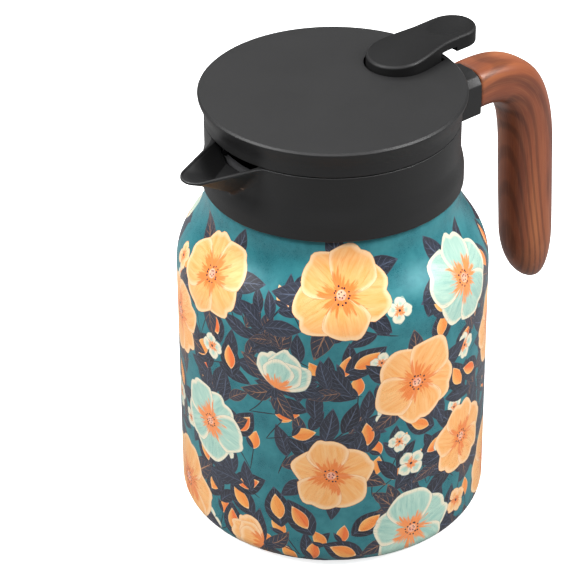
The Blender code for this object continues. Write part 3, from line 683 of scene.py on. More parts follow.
def lid(material):
    """Lid disc with its skirt, the lever's recess, and the pin, stem and screw holes."""
    line = [(LID_R - 0.75, LID_TOP, 0.25), (LID_R, LID_TOP - 0.75, 0.35),
            (LID_R - 0.12, LID_TOP - 1.6), (51.0, 180.4), (50.35, 178.7), (49.95, 177.2),
            (LID_SKIRT_R, 176.0), (LID_SKIRT_R, LID_BASE, 0.35), (LID_BORE_R, LID_BASE, 0.2),
            (LID_BORE_R, LID_INSIDE)]
    profile = rounded([(0.0, LID_TOP)] + line + [(0.0, LID_INSIDE)], closed=False)
    obj = loft("lid_disc", [[(r * math.cos(a), r * math.sin(a), z) for a in circle(192)]
                            for r, z in profile if r > 0.0], material)
    combine(obj, [prism(lever_outline(3.4, 49.0), 175.8, 181.8)], "UNION")
    pocket = prism(lever_outline(0.9, 48.5), 177.8, LID_TOP + 3.0)
    pin = rod(PIN_HOLE_R, (PIVOT[0], -13.3, PIVOT[2]), (PIVOT[0], 13.3, PIVOT[2]), 24)
    tools = [pocket, rod(4.0, (LINK[0], 0, 172.0), (LINK[0], 0, 181.0)), pin]
    for a in (90.0, 180.0, 270.0):
        x, y = PLUG_SCREW_R * math.cos(math.radians(a)), PLUG_SCREW_R * math.sin(math.radians(a))
        tools.append(rod(1.5, (x, y, 172.0), (x, y, 183.6), 16))
    combine(obj, tools)
    soften(obj, 0.3, 60.0)
    shade(obj, 30.0)
    return obj


# --- grip ----------------------------------------------------------------------------------------
GRIP_END_POWER = 2.1       # roundness of the lower end
GRIP_END_LEAN = 0.50       # how far the lower end leans outwards as it narrows
GRIP_LOW = corner("handle_grip", 0)[2] - 1.2
GRIP_ROUND_FROM = 83.0


def grip_stations():
    """Centre line of the hook in (x, z), with depth, half width and direction."""
    return [(GRIP_START, 160.8, 8.9, 9.5, 0.0), (74.0, 161.0, 8.9, 9.5, -2.0),
            (79.5, 160.8, 9.0, 9.5, -8.0), (85.2, 159.8, 9.3, 9.6, -18.0),
            (90.6, 157.7, 9.8, 9.7, -32.0), (95.4, 154.0, 10.4, 9.8, -46.0),
            (99.2, 149.0, 10.8, 9.9, -59.0), (101.9, 142.6, 11.2, 10.0, -70.0),
            (103.7, 135.0, 11.5, 10.0, -79.0), (104.8, 126.0, 11.7, 10.0, -84.0),
            (105.4, 114.0, 11.7, 10.0, -87.0), (106.0, 102.0, 11.7, 10.0, -87.5),
            (106.6, 91.0, 11.6, 10.0, -87.5), (107.1, 81.0, 11.5, 10.0, -87.0),
            (107.6, 73.0, 11.4, 9.9, -86.5), (108.1, 64.0, 11.2, 9.8, -86.0),
            (108.6, 55.0, 11.0, 9.7, -86.0)]


def catmull(values, steps):
    """Smooth values between stations; the ends are repeated."""
    padded = [values[0]] + values + [values[-1]]
    out = []
    for i in range(1, len(padded) - 2):
        p0, p1, p2, p3 = padded[i - 1], padded[i], padded[i + 1], padded[i + 2]
        for k in range(steps):
            t = k / steps
            out.append(tuple(0.5 * (2 * b + (c - a) * t + (2 * a - 5 * b + 4 * c - d) * t * t
                                    + (3 * b - a - 3 * c + d) * t ** 3)
                             for a, b, c, d in zip(p0, p1, p2, p3)))
    out.append(values[-1])
    return out


def grip_ring(station, scale, count=72):
    """Section across the hook, squarer at the arm; also the same points in grain space."""
    x, z, depth, width, direction = station
    turn = math.radians(direction + 90.0)
    square = 0.62 if direction > -20.0 else 0.62 + 0.26 * min(1.0, (-20.0 - direction) / 50.0)
    square += (1.0 - square) * (1.0 - scale) ** 1.5
    ring, local = [], []
    for a in circle(count, 0.5):
        across = width * scale * math.copysign(abs(math.cos(a)) ** square, math.cos(a))
        out = depth * scale * math.copysign(abs(math.sin(a)) ** square, math.sin(a))
        ring.append((x + out * math.cos(turn), across, z + out * math.sin(turn)))
        local.append((across, out))
    return ring, local


def grip_narrowing(share):
    """Scale of the section along the rounded lower end, from 1 down to 0."""
    return (1.0 - share ** GRIP_END_POWER) ** (1.0 / GRIP_END_POWER)


def grip(material):
    """The hook lofted along its stations, rounded off below, with a socket for the tang."""
    rings, grain = [], []
    run = 0.0
    round_length = GRIP_ROUND_FROM - GRIP_LOW
    before = None
    for station in catmull(grip_stations(), 7):
        x, z = station[0], station[1]
        if z <= GRIP_LOW + 0.05:
            break
        run += math.hypot(x - before[0], z - before[1]) if before else 0.0
        before = (x, z)
        scale = 1.0
        if z < GRIP_ROUND_FROM and station[4] < -60.0:
            scale = grip_narrowing((GRIP_ROUND_FROM - z) / round_length)
        start = x - GRIP_START
        if station[4] > -1.0 and start < 0.5:
            scale = 1.0 - 0.045 * (1.0 - start / 0.5)
        lean = station[2] * GRIP_END_LEAN * (1.0 - scale) if station[4] < -60.0 else 0.0
        ring, local = grip_ring((x + lean,) + station[1:], scale)
        rings.append(ring)
        grain += [(a, o, run) for a, o in local]
    for t in (0.985, 0.995, 0.9992):
        z = GRIP_ROUND_FROM - round_length * t
        scale = grip_narrowing(t)
        x = before[0] + (before[1] - z) * 0.07 + 11.0 * GRIP_END_LEAN * (1.0 - scale)
        ring, local = grip_ring((x, z, 11.0, 9.7, -86.0), scale)
        rings.append(ring)
        grain += [(a, o, run + before[1] - z) for a, o in local]
    obj = loft("wood_grip", rings, material)
    drawn = kdtree.KDTree(len(grain))
    for index, spot in enumerate(p for ring in rings for p in ring):
        drawn.insert(Vector(spot) * MM, index)
    drawn.balance()
    combine(obj, [box((GRIP_START - 1.0, -6.3, 155.7), (TANG_END + 0.3, 6.3, 163.9)),
                  rod(3.3, (SCREW_X, 0.0, 140.0), (SCREW_X, 0.0, 153.9)),
                  rod(1.7, (SCREW_X, 0.0, 153.0), (SCREW_X, 0.0, 157.0), 20)])
    own = np.array([grain[drawn.find(v.co)[1]] for v in obj.data.vertices], dtype=np.float32)
    layer = obj.data.attributes.new("grain", "FLOAT_VECTOR", "POINT")
    layer.data.foreach_set("vector", own.ravel() * MM)
    shade(obj, 40.0)
    return obj


# --- body ----------------------------------------------------------------------------------------
SHOULDER_BASE = 108.0
FOOT_ROUND = 7.0
OPENING_R = 47.0           # opening under the shell, closed by the base plate
NECK_R = 47.2


def shoulder(neck_r, body_r, top, rows):
    """The shoulder's curve (r, z) from the neck down to the straight wall."""
    line = []
    for i in range(rows + 1):
        t = i / rows
        blend = t ** 1.3 / (t ** 1.3 + (1.0 - t) ** 2.1)
        line.append((neck_r + (body_r - neck_r) * blend, top + (SHOULDER_BASE - top) * t))
    return line


def body_outside():
    """The shell's outer profile from the bottom opening up to the neck's lip."""
    line = [(OPENING_R, SHELL_BOTTOM)]
    for i in range(13):
        a = math.radians(-90.0 + 90.0 * i / 12)
        line.append((BODY_R - FOOT_ROUND + FOOT_ROUND * math.cos(a),
                     SHELL_BOTTOM + FOOT_ROUND + FOOT_ROUND * math.sin(a)))
    line += shoulder(50.0, BODY_R, 139.0, 30)[::-1]
    return line + [(49.9, 141.0), (49.8, 144.4), (49.3, 146.0), (48.1, 147.3), (NECK_R, 149.0),
                   (NECK_R, NECK_TOP)]


def inside_profile():
    """The shell's inner wall from the neck down to the bottom opening."""
    inside = [(46.2, NECK_TOP), (46.2, 148.6), (46.9, 146.6), (48.7, 144.0)]
    inside += shoulder(49.0, 61.0, 138.5, 16)
    for i in range(7):
        a = math.radians(-90.0 * i / 6)
        inside.append((55.0 + 6.0 * math.cos(a), SHELL_BOTTOM + FOOT_ROUND + 6.0 * math.sin(a)))
    return inside + [(OPENING_R, SHELL_BOTTOM + 1.0)]


# --- print on the body -------------------------------------------------------------------------------
LEAF, MINT, PEACH, DISC, BUD, STEM = range(1, 7)     # kind 0 is the bare ground
ROUND_MM = 2.0 * math.pi * BODY_R
COLUMNS = 138              # faces round the plain wall
SEAM_MARGIN = 30.0         # wall drawn twice beyond the seam, then cut away
EDGE_ROOM = 0.6            # bare wall kept at the shell's lower and upper edge


class Motif:
    """One painted shape: an outline in unrolled millimetres and its own (u, v, edge) map."""

    def __init__(self, kind, x, y, turn, length, half, bend=0.0, tone=0.5, wave=0.0, notch=0.0):
        self.kind, self.x, self.y = kind, x, y
        self.turn, self.length, self.half = math.radians(turn), length, half
        self.bend, self.tone, self.wave, self.notch = bend, tone, wave, notch
        self.seed = (x * 0.37 + y * 0.73 + turn * 0.11) % 17.0

    def shifted(self, dx):
        twin = object.__new__(type(self))
        twin.__dict__.update(self.__dict__)
        twin.x = self.x + dx
        return twin

    def to_map(self, a, b):
        """Local (along, across) to unrolled millimetres."""
        c, s = math.cos(self.turn), math.sin(self.turn)
        b = b + self.bend * 4.0 * (a / self.length) * (1.0 - a / self.length)
        return self.x + a * c - b * s, self.y + a * s + b * c

    def to_local(self, px, py):
        c, s = math.cos(self.turn), math.sin(self.turn)
        a = (px - self.x) * c + (py - self.y) * s
        b = (py - self.y) * c - (px - self.x) * s
        return a, b - self.bend * 4.0 * (a / self.length) * (1.0 - a / self.length)


class Blade(Motif):
    """Leaf, bud or stem: pointed at the tip, widest at or before the middle."""

    widest, fat = 0.85, 0.95

    def width(self, u):
        """Half width at a share u of the length."""
        u = np.clip(u, 0.0, 1.0)
        return self.half * np.sin(np.pi * u ** self.widest) ** self.fat + 0.02

    def ring(self, share, count=11):
        """The outline (share 1), or a smaller line inside it, in unrolled millimetres."""
        us = [(1.0 - math.cos(math.pi * (i + 0.5) / count)) / 2.0 for i in range(count)]
        us = [0.5 + (u - 0.5) * (1.0 if share == 1.0 else 0.5 + share * 0.45) for u in us]
        up = [(u * self.length, float(self.width(u)) * share) for u in us]
        line = up + [(a, -b) for a, b in reversed(up)]
        if share == 1.0:
            line = [(0.0, 0.0)] + up + [(self.length, 0.0)] + [(a, -b) for a, b in reversed(up)]
        return [self.to_map(a, b) for a, b in line]

    def values(self, px, py):
        """u along, v across from -1 to 1, and the distance to the edge in millimetres."""
        a, b = self.to_local(px, py)
        u = np.clip(a / self.length, 0.0, 1.0)
        w = self.width(u)
        v = np.clip(b / w, -1.0, 1.0)
        edge = np.minimum((1.0 - np.abs(v)) * w, np.minimum(u, 1.0 - u) * self.length * 0.5)
        return u, v, edge


class Petal(Motif):
    """Petal: narrow at its base, broad and gently waved at its outer end."""

    def side(self, u):
        return self.half * np.sin(0.5 * np.pi * np.clip(u / 0.62, 0.02, 1.0)) ** 0.8

    def tip(self, s):
        swell = 1.0 - 0.40 * np.abs(s) ** 2.4 - self.notch * np.exp(-(s / 0.2) ** 2)
        return swell + self.wave * np.sin(5.0 * s + self.seed)

    def flank(self, sign, share, count):
        """One side of the petal, from its base to where its rounded end starts."""
        start = 0.5 * (1.0 - share)
        line = []
        for i in range(count):
            a = self.length * (start + (self.tip(sign) * share - start) * i / count)
            line.append((a, sign * float(self.side(a / self.length)) * share))
        return line

    def ring(self, share, count=8):
        arc = []
        for i in range(2 * count + 1):
            s = math.cos(math.pi * i / (2 * count))
            arc.append((self.length * self.tip(s) * share, self.half * s * share))
        down = self.flank(-1.0, share, count)[(1 if share == 1.0 else 0):]
        line = self.flank(1.0, share, count) + arc + down[::-1]
        return [self.to_map(a, b) for a, b in line]

    def values(self, px, py):
        a, b = self.to_local(px, py)
        s = np.clip(b / self.half, -1.0, 1.0)
        reach = self.length * self.tip(s)
        u = np.clip(a / reach, 0.0, 1.0)
        w = self.side(a / self.length)
        v = np.clip(b / w, -1.0, 1.0)
        return u, v, np.minimum((1.0 - np.abs(v)) * w, (1.0 - u) * reach)


class Dot(Motif):
    """Small round mark; u runs from its centre to its rim."""

    def ring(self, share, count=10):
        r = self.half * share
        return [(self.x + r * math.cos(a + self.seed), self.y + r * math.sin(a + self.seed))
                for a in circle(count if self.half > 1.0 else 7)]

    def values(self, px, py):
        u = np.clip(np.hypot(px - self.x, py - self.y) / self.half, 0.0, 1.0)
        return u, u * 0.0, (1.0 - u) * self.half


class Stem(Blade):
    """Thin, even line with a bend."""

    widest, fat = 1.0, 0.3


def stamens(x, y, count, jitter, radius, size, rng):
    """A ring of dark dots round a flower's middle; radius and size draw a value per dot."""
    out = []
    for i in range(count):
        a = 2.0 * math.pi * (i + rng.uniform(-jitter, jitter)) / count
        r = radius()
        out.append(Dot(STEM, x + r * math.cos(a), y + r * math.sin(a), 0.0, 1.0, size(), tone=0.9))
    return out


def open_flower(kind, x, y, size, turn, rng):
    """Five broad petals round a disc with a ring of stamens, on a fan of dark leaves."""
    out = []
    for i in range(5):
        a = turn + 36.0 + 72.0 * i + rng.uniform(-9, 9)
        length = size * rng.uniform(0.75, 1.0)
        out.append(Blade(LEAF, x + 0.5 * size * math.cos(math.radians(a)),
                         y + 0.5 * size * math.sin(math.radians(a)), a + rng.uniform(-14, 14),
                         length, length * 0.24, rng.uniform(-2, 2), rng.random()))
    for i in (0, 2, 4, 1, 3):
        a = turn + 72.0 * i + rng.uniform(-6, 6)
        length = size * rng.uniform(0.92, 1.08)
        out.append(Petal(kind, x, y, a, length, length * rng.uniform(0.50, 0.58),
                         rng.uniform(-0.8, 0.8), rng.random(), rng.uniform(0.015, 0.035),
                         rng.choice([0.0, 0.05, 0.09])))
    out.append(Dot(DISC, x, y, 0.0, 1.0, size * 0.105, tone=0.4))
    out += stamens(x, y, 13, 0.3, lambda: size * rng.uniform(0.13, 0.19),
                   lambda: size * rng.uniform(0.017, 0.026), rng)
    out += stamens(x, y, 5, 0.3, lambda: size * 0.055, lambda: size * 0.017, rng)
    return out


def cup_flower(kind, x, y, size, turn, rng):
    """Flower seen from the side: two back petals, three front ones and a pair of sepals."""
    out = []
    for side in (-1, 1):
        out.append(Blade(LEAF, x, y, turn + 128.0 * side, size * 0.95, size * 0.22,
                         2.0 * side, rng.random()))
        out.append(Blade(LEAF, x, y, turn + 72.0 * side, size * 1.15, size * 0.24,
                         -1.5 * side, rng.random()))
    for spread, length, half in ((-34, 1.0, 0.40), (34, 1.0, 0.40), (0, 1.12, 0.42),
                                 (-15, 0.86, 0.42), (17, 0.80, 0.40)):
        out.append(Petal(kind, x, y, turn + spread + rng.uniform(-4, 4), size * length,
                         size * half, spread * -0.03, rng.random(), rng.uniform(0.02, 0.045),
                         rng.choice([0.0, 0.06])))
    out.append(Blade(LEAF, x, y, turn + 160.0, size * 0.4, size * 0.09, 0.5, 0.3))
    out.append(Blade(LEAF, x, y, turn - 155.0, size * 0.35, size * 0.08, -0.5, 0.3))
    return out


def small_flower(kind, x, y, size, turn, rng):
    """Four petals and one dark dot."""
    out = []
    for i in range(4):
        a = turn + 90.0 * i + rng.uniform(-8, 8)
        out.append(Petal(kind, x, y, a, size, size * 0.5, 0.0, rng.random(), 0.03, 0.06))
    out.append(Dot(STEM, x, y, 0.0, 1.0, size * 0.10, tone=0.9))
    return out


def spray(x, y, turn, size, rng):
    """Curved stem with leaves on both sides and one at its end."""
    stem = Stem(STEM, x, y, turn, size, 0.32, rng.uniform(-2.2, 2.2), 0.2)
    out = [stem]
    for i in range(4):
        u = 0.16 + 0.2 * i
        px, py = stem.to_map(u * size, 0.0)
        side = 1 if i % 2 else -1
        length = size * rng.uniform(0.55, 0.78) * (1.0 - 0.3 * u)
        out.append(Blade(LEAF, px, py, turn + side * rng.uniform(32, 52), length, length * 0.22,
                         side * -0.6, rng.random()))
    px, py = stem.to_map(size * 0.97, 0.0)
    out.append(Blade(LEAF, px, py, turn, size * 0.42, size * 0.1, 0.4, rng.random()))
    return out


def sheathed_bud(x, y, turn, size, rng):
    """Orange bud inside a dark almond leaf."""
    back = Blade(LEAF, x, y, turn, size, size * 0.3, rng.uniform(-0.8, 0.8), rng.random() * 0.5)
    px, py = back.to_map(size * 0.2, 0.0)
    return [back, Blade(BUD, px, py, turn, size * 0.62, size * 0.155, back.bend * 0.5, rng.random())]


def loose_buds(x, y, turn, size, rng):
    """Two buds on short stems, each with a narrow leaf."""
    out = []
    for spread in (-26, 12):
        a = turn + spread + rng.uniform(-6, 6)
        stem = Stem(STEM, x, y, a, size * 0.7, 0.22, rng.uniform(-1, 1), 0.2)
        px, py = stem.to_map(size * 0.62, 0.0)
        out += [stem, Blade(BUD, px, py, a, size * 0.55, size * 0.16, 0.3, rng.random())]
        out.append(Blade(LEAF, px, py, a + 40, size * 0.4, size * 0.07, 0.2, 0.2))
    return out


REPEATS_ROUND = 7
FLOWER_ROWS = 4
FIRST_ROW = 14.0           # lowest row of flowers on the unrolled wall
ROW_PITCH = 37.0
FILL_PITCH = 13.0          # spacing of the small motifs between the flowers
FILL_HEIGHT = 140.0
PRINT_SEED = 11


def flower_lattice(rng):
    """Half-drop repeat: (kind, form, x, y, size, turn) for every large and small flower."""
    large, small = [], []
    pitch = ROUND_MM / REPEATS_ROUND
    for row in range(FLOWER_ROWS):
        for column in range(REPEATS_ROUND):
            x = (column + 0.5 * (row % 2)) * pitch
            y = FIRST_ROW + row * ROW_PITCH
            kind = MINT if (row + 2 * column) % 3 == 1 else PEACH
            form = cup_flower if (column + 2 * row) % 4 == 0 else open_flower
            size = rng.uniform(17.0, 20.5) * (0.84 if form is cup_flower else 1.0)
            large.append((kind, form, x + rng.uniform(-5, 5), y + rng.uniform(-6, 6), size,
                          rng.uniform(0, 360)))
            if (row + column) % 2:
                small.append((PEACH if kind == MINT else MINT, small_flower,
                              x + 0.5 * pitch + rng.uniform(-4, 4), y + rng.uniform(-7, 7),
                              rng.uniform(5.6, 7.2), rng.uniform(0, 90)))
    return large, small


def plan_print():
    """All motifs in painting order: fill, then small flowers, then the large ones."""
    rng = random.Random(PRINT_SEED)
    large, small = flower_lattice(rng)
    taken = [(x, y, size * 0.62) for _, _, x, y, size, _ in large]
    taken += [(x, y, size * 0.5) for _, _, x, y, size, _ in small]
    fill = []
    columns = int(ROUND_MM / FILL_PITCH)
    for row in range(int(FILL_HEIGHT / FILL_PITCH)):
        for column in range(columns):
            x = (column + 0.5 * (row % 2) + rng.uniform(-0.25, 0.25)) * ROUND_MM / columns
            y = -4.0 + (row + rng.uniform(-0.22, 0.22)) * FILL_PITCH
            turn, size, pick = rng.uniform(20, 160), rng.uniform(0.9, 1.1), rng.random()
            room = min(math.hypot(min(abs(x - fx) % ROUND_MM, ROUND_MM - abs(x - fx) % ROUND_MM),
                                  y - fy) - reach for fx, fy, reach in taken)
            if room < 0.0:
                continue
            if pick < 0.46:
                fill += spray(x, y - 4.0, turn, 25.0 * size, rng)
            elif pick < 0.74:
                fill += sheathed_bud(x, y - 3.0, turn, 18.0 * size, rng)
            elif pick < 0.94:
                fill += loose_buds(x, y - 3.0, turn, 17.0 * size, rng)
            else:
                fill += small_flower(MINT, x, y, 5.0 * size, turn, rng)
    for kind, form, x, y, size, turn in small:
        fill += form(kind, x, y, size, turn, rng)
    blooms = []
    for kind, form, x, y, size, turn in large:
        blooms += form(kind, x, y, size, turn, rng)
    leaves = [m for m in blooms if m.kind == LEAF]
    return fill + leaves + [m for m in blooms if m.kind != LEAF]


def print_layout(low, high):
    """Triangulate the unrolled wall along every outline; returns points, triangles, owners."""
    points, polygons, owners = [], [], []
    pitch = ROUND_MM / COLUMNS
    rows = int(round((high - low) / pitch))
    spare = int(SEAM_MARGIN / pitch) + 1
    for j in range(rows + 1):
        y = low + (high - low) * j / rows
        for i in range(-spare, COLUMNS + spare + 1):
            points.append((i * pitch, y))
    width = COLUMNS + 2 * spare + 1
    edges = []
    for column in (spare, spare + COLUMNS):
        edges += [(j * width + column, (j + 1) * width + column) for j in range(rows)]
    for j in (0, rows):
        edges += [(j * width + i, j * width + i + 1) for i in range(width - 1)]
    for motif in plan_print():
        for dx in (-ROUND_MM, 0.0, ROUND_MM):
            twin = motif.shifted(dx) if dx else motif
            line = twin.ring(1.0)
            if max(p[0] for p in line) < -0.01 or min(p[0] for p in line) > ROUND_MM + 0.01:
                continue
            if max(p[1] for p in line) > high - EDGE_ROOM or min(p[1] for p in line) < low + EDGE_ROOM:
                continue
            area = sum(a[0] * b[1] - b[0] * a[1] for a, b in zip(line, line[1:] + line[:1]))
            line = line if area > 0 else line[::-1]
            start = len(points)
            points += line
            polygons.append(list(range(start, start + len(line))))
            owners.append(twin)
            if twin.half > 2.3:
                for share in ((0.78, 0.4) if twin.half > 4.0 else (0.5,)):
                    points += twin.ring(share)
    done = geometry.delaunay_2d_cdt([Vector(p) for p in points], edges, polygons, 0, 1e-5, True)
    spots = np.array([tuple(p) for p in done[0]])
    tris = np.array(done[2])
    top = np.array([max(ids) if ids else -1 for ids in done[5]])
    middle = spots[tris].mean(axis=1)
    keep = ((middle[:, 0] > 0) & (middle[:, 0] < ROUND_MM) & (middle[:, 1] > low)
            & (middle[:, 1] < high))
    return spots, tris[keep], top[keep], owners


def wall_lookup(profile):
    """Functions from unrolled height to radius, height and normal on the outer wall."""
    line = np.array(profile)
    step = np.hypot(*np.diff(line, axis=0).T)
    run = np.concatenate([[0.0], np.cumsum(step)])
    straight = int(np.argmax(line[:, 1] >= SHELL_BOTTOM + 6.99))
    run += line[straight, 1] - run[straight]
    slope = np.gradient(line, run, axis=0)

    def at(y):
        r, z = np.interp(y, run, line[:, 0]), np.interp(y, run, line[:, 1])
        tr, tz = np.interp(y, run, slope[:, 0]), np.interp(y, run, slope[:, 1])
        size = np.hypot(tr, tz)
        return r, z, tz / size, -tr / size
    return at, run[0], run[-1]


def paint_maps(mesh, spots, tris, top, owners):
    """Give each painted face corner its motif's (u, v, edge) and its (kind, tone, seed)."""
    petal = np.zeros((len(mesh.loops), 3), dtype=np.float32)
    motif = np.zeros((len(mesh.loops), 3), dtype=np.float32)
    corner_spot = tris.ravel()
    corner_top = np.repeat(top, 3)
    for index in np.unique(top[top >= 0]):
        owner = owners[index]
        where = np.nonzero(corner_top == index)[0]
        px, py = spots[corner_spot[where], 0], spots[corner_spot[where], 1]
        petal[where] = np.stack(owner.values(px, py), axis=1)
        motif[where] = (owner.kind, owner.tone, owner.seed)
    for name, data in (("petal", petal), ("motif", motif)):
        layer = mesh.attributes.new(name, "FLOAT_VECTOR", "CORNER")
        layer.data.foreach_set("vector", data.ravel())


def weld(mesh):
    """Close the seam and the edges, and drop points that no face uses."""
    bm = bmesh.new()
    bm.from_mesh(mesh)
    bmesh.ops.remove_doubles(bm, verts=bm.verts, dist=0.000003)
    bmesh.ops.delete(bm, geom=[v for v in bm.verts if not v.link_faces], context="VERTS")
    bmesh.ops.recalc_face_normals(bm, faces=bm.faces)
    bm.to_mesh(mesh)
    bm.free()


def printed_body(material):
    """The outer shell as one closed skin whose faces follow the painted outlines."""
    at, low, high = wall_lookup(body_outside())
    spots, tris, top, owners = print_layout(low, high)
    turn = spots[:, 0] / BODY_R
    r, z, _, _ = at(spots[:, 1])
    verts = np.stack([r * np.cos(turn), r * np.sin(turn), z], axis=1)
    inside = [(NECK_R, NECK_TOP)] + inside_profile() + [(OPENING_R, SHELL_BOTTOM)]
    ring = [(r * math.cos(a), r * math.sin(a), z) for r, z in inside for a in circle(COLUMNS)]
    faces = [tuple(t) for t in tris] + bands(COLUMNS, len(inside), len(verts))
    mesh = bpy.data.meshes.new("printed_body")
    mesh.from_pydata([tuple(v) for v in np.concatenate([verts, ring]) * MM], [], faces)
    paint_maps(mesh, spots, tris, top, owners)
    weld(mesh)
    obj = bpy.data.objects.new("printed_body", mesh)
    bpy.context.scene.collection.objects.link(obj)
    mesh.materials.append(material)
    smooth_wall(mesh, at)
    return obj


def smooth_wall(mesh, at):
    """Exact normals on the outer wall, plain smooth ones elsewhere."""
    for face in mesh.polygons:
        face.use_smooth = True
    mesh.set_sharp_from_angle(angle=math.radians(50.0))
    radii, heights, out, up = at(np.linspace(-12.0, 170.0, 3000))
    wall = kdtree.KDTree(len(radii))
    for index, (r, z) in enumerate(zip(radii, heights)):
        wall.insert((r, z, 0.0), index)
    wall.balance()
    exact = []
    for vertex in mesh.vertices:
        x, y, z = vertex.co / MM
        r = math.hypot(x, y)
        _, index, gap = wall.find((r, z, 0.0))
        near = gap < 0.05
        exact.append(Vector((out[index] * x / r, out[index] * y / r, up[index])) if near else None)
    normals = []
    for loop, plain in zip(mesh.loops, mesh.corner_normals):
        own = exact[loop.vertex_index]
        normals.append(own if own and own.dot(plain.vector) > 0.9 else plain.vector.copy())
    mesh.normals_split_custom_set(normals)


def printed_paint():
    """Painted flowers on teal: each motif is coloured by its kind, along and across itself."""
    f = Finish("printed_paint")
    u, v, edge = f.split(f.attribute("petal"))
    kind, tone, seed = f.split(f.attribute("motif"))
    place = f.place()
    streak = f.noise(f.join(f.times(v, 3.2), f.times(u, 0.9), seed), 1.6, 3.0, 0.65)
    fine = f.noise(f.join(f.times(v, 11.0), f.times(u, 1.6), seed), 1.4, 2.0, 0.6)
    cloud = f.noise(place, 70.0, 3.0, 0.55)
    paint = f.noise(place, 420.0, 3.0, 0.6)
    colour = f.ramp(f.plus(f.times(cloud, 0.75), f.times(paint, 0.25)),
                    [(0.34, srgb("1F6670")), (0.5, srgb("2B7780")), (0.66, srgb("39868D"))])
    burst = f.plus(f.minus(0.46, u), f.times(f.minus(streak, 0.5), 1.1))
    burst = f.spread(burst, 0.06, 0.20, 0.0, 1.0, True)
    rim = f.minus(f.spread(edge, 0.5, 3.6, 1.0, 0.0, True), f.times(f.minus(streak, 0.5), 0.9))
    paints = {
        LEAF: leaf_paint(f, u, v, edge, tone, streak, fine),
        MINT: mint_paint(f, edge, streak, fine, burst, rim),
        PEACH: peach_paint(f, u, edge, streak, fine, burst, rim),
        DISC: f.mix(f.spread(paint, 0.4, 0.6), srgb("F0A088"), srgb("F6C2A0")),
        BUD: bud_paint(f, v, edge, tone, fine),
        STEM: f.mix(tone, srgb("262A33"), srgb("3B2430")),
    }
    for index, paint_colour in paints.items():
        here = f.math("COMPARE", kind, float(index), 0.5)
        colour = f.mix(here, colour, paint_colour)
    grain = f.noise(place, 3200.0, 1.0, 0.5)
    sparkle = f.noise(place, 1500.0, 2.0, 0.7)
    rub = f.plus(f.spread(cloud, 0.3, 0.7, 0.30, 0.36), f.spread(grain, 0.3, 0.7, -0.06, 0.06))
    height = f.plus(f.times(grain, 0.5), f.times(sparkle, 0.8))
    return f.set(Base_Color=colour, Roughness=rub, Metallic=0.12, Normal=f.bump(height, 0.00003))


def leaf_paint(f, u, v, edge, tone, streak, fine):
    """Dark leaf with a rib, side veins and a thin drawn edge."""
    leaf = f.mix(tone, srgb("23242C"), srgb("343743"))
    leaf = f.mix(f.spread(streak, 0.45, 0.75, 0.0, 0.6), leaf, srgb("41495A"))
    rib = f.spread(f.size(v), 0.03, 0.085, 0.8, 0.0)
    side = f.math("FRACT", f.minus(f.times(u, 6.0), f.times(f.size(v), 1.5)))
    vein = f.times(f.spread(f.size(f.minus(side, 0.5)), 0.03, 0.09, 0.55, 0.0),
                   f.spread(edge, 0.2, 1.0))
    line = f.math("MAXIMUM", f.math("MAXIMUM", rib, vein), f.spread(edge, 0.06, 0.24, 0.5, 0.0))
    line = f.times(line, f.spread(fine, 0.35, 0.6, 0.25, 1.0))
    warm = f.math("GREATER_THAN", tone, 0.72)
    return f.mix(line, leaf, f.mix(warm, srgb("66728A"), srgb("C08A62")))


def mint_paint(f, edge, streak, fine, burst, rim):
    """Pale green petal, cream at its rim, orange at its base."""
    mint = f.mix(f.spread(streak, 0.35, 0.7), srgb("9CC6B9"), srgb("C2DDCB"))
    mint = f.mix(f.spread(rim, 0.35, 0.9, 0.0, 0.85), mint, srgb("F6E6CB"))
    mint = f.mix(f.spread(fine, 0.60, 0.70, 0.0, 0.55), mint, srgb("7DB2AA"))
    mint = f.mix(burst, mint, f.mix(fine, srgb("EE7A3C"), srgb("F7A868")))
    return f.mix(f.spread(edge, 0.10, 0.26, 0.75, 0.0), mint, srgb("5E9A9A"))


def peach_paint(f, u, edge, streak, fine, burst, rim):
    """Light orange petal, paler at its rim, deeper at its base."""
    peach = f.mix(f.spread(streak, 0.35, 0.7), srgb("F7AE63"), srgb("FBC586"))
    peach = f.mix(f.spread(rim, 0.3, 1.0, 0.0, 0.8), peach, srgb("FDD8AC"))
    lines = f.times(f.spread(fine, 0.54, 0.68), f.spread(u, 0.25, 0.95, 0.8, 0.1))
    peach = f.mix(lines, peach, srgb("EE8B3C"))
    peach = f.mix(f.times(burst, 0.85), peach, srgb("EC7A30"))
    return f.mix(f.spread(edge, 0.08, 0.24, 0.7, 0.0), peach, srgb("D57A3C"))


def bud_paint(f, v, edge, tone, fine):
    """Orange bud, lighter on one side, with a pale edge."""
    bud = f.mix(tone, srgb("EE6A35"), srgb("F7A04B"))
    bud = f.mix(f.spread(v, -0.2, 0.9), bud, srgb("F9B766"))
    bud = f.mix(f.spread(fine, 0.55, 0.68, 0.0, 0.7), bud, srgb("E4582C"))
    return f.mix(f.spread(edge, 0.12, 0.36, 0.8, 0.0), bud, srgb("FBD3A0"))


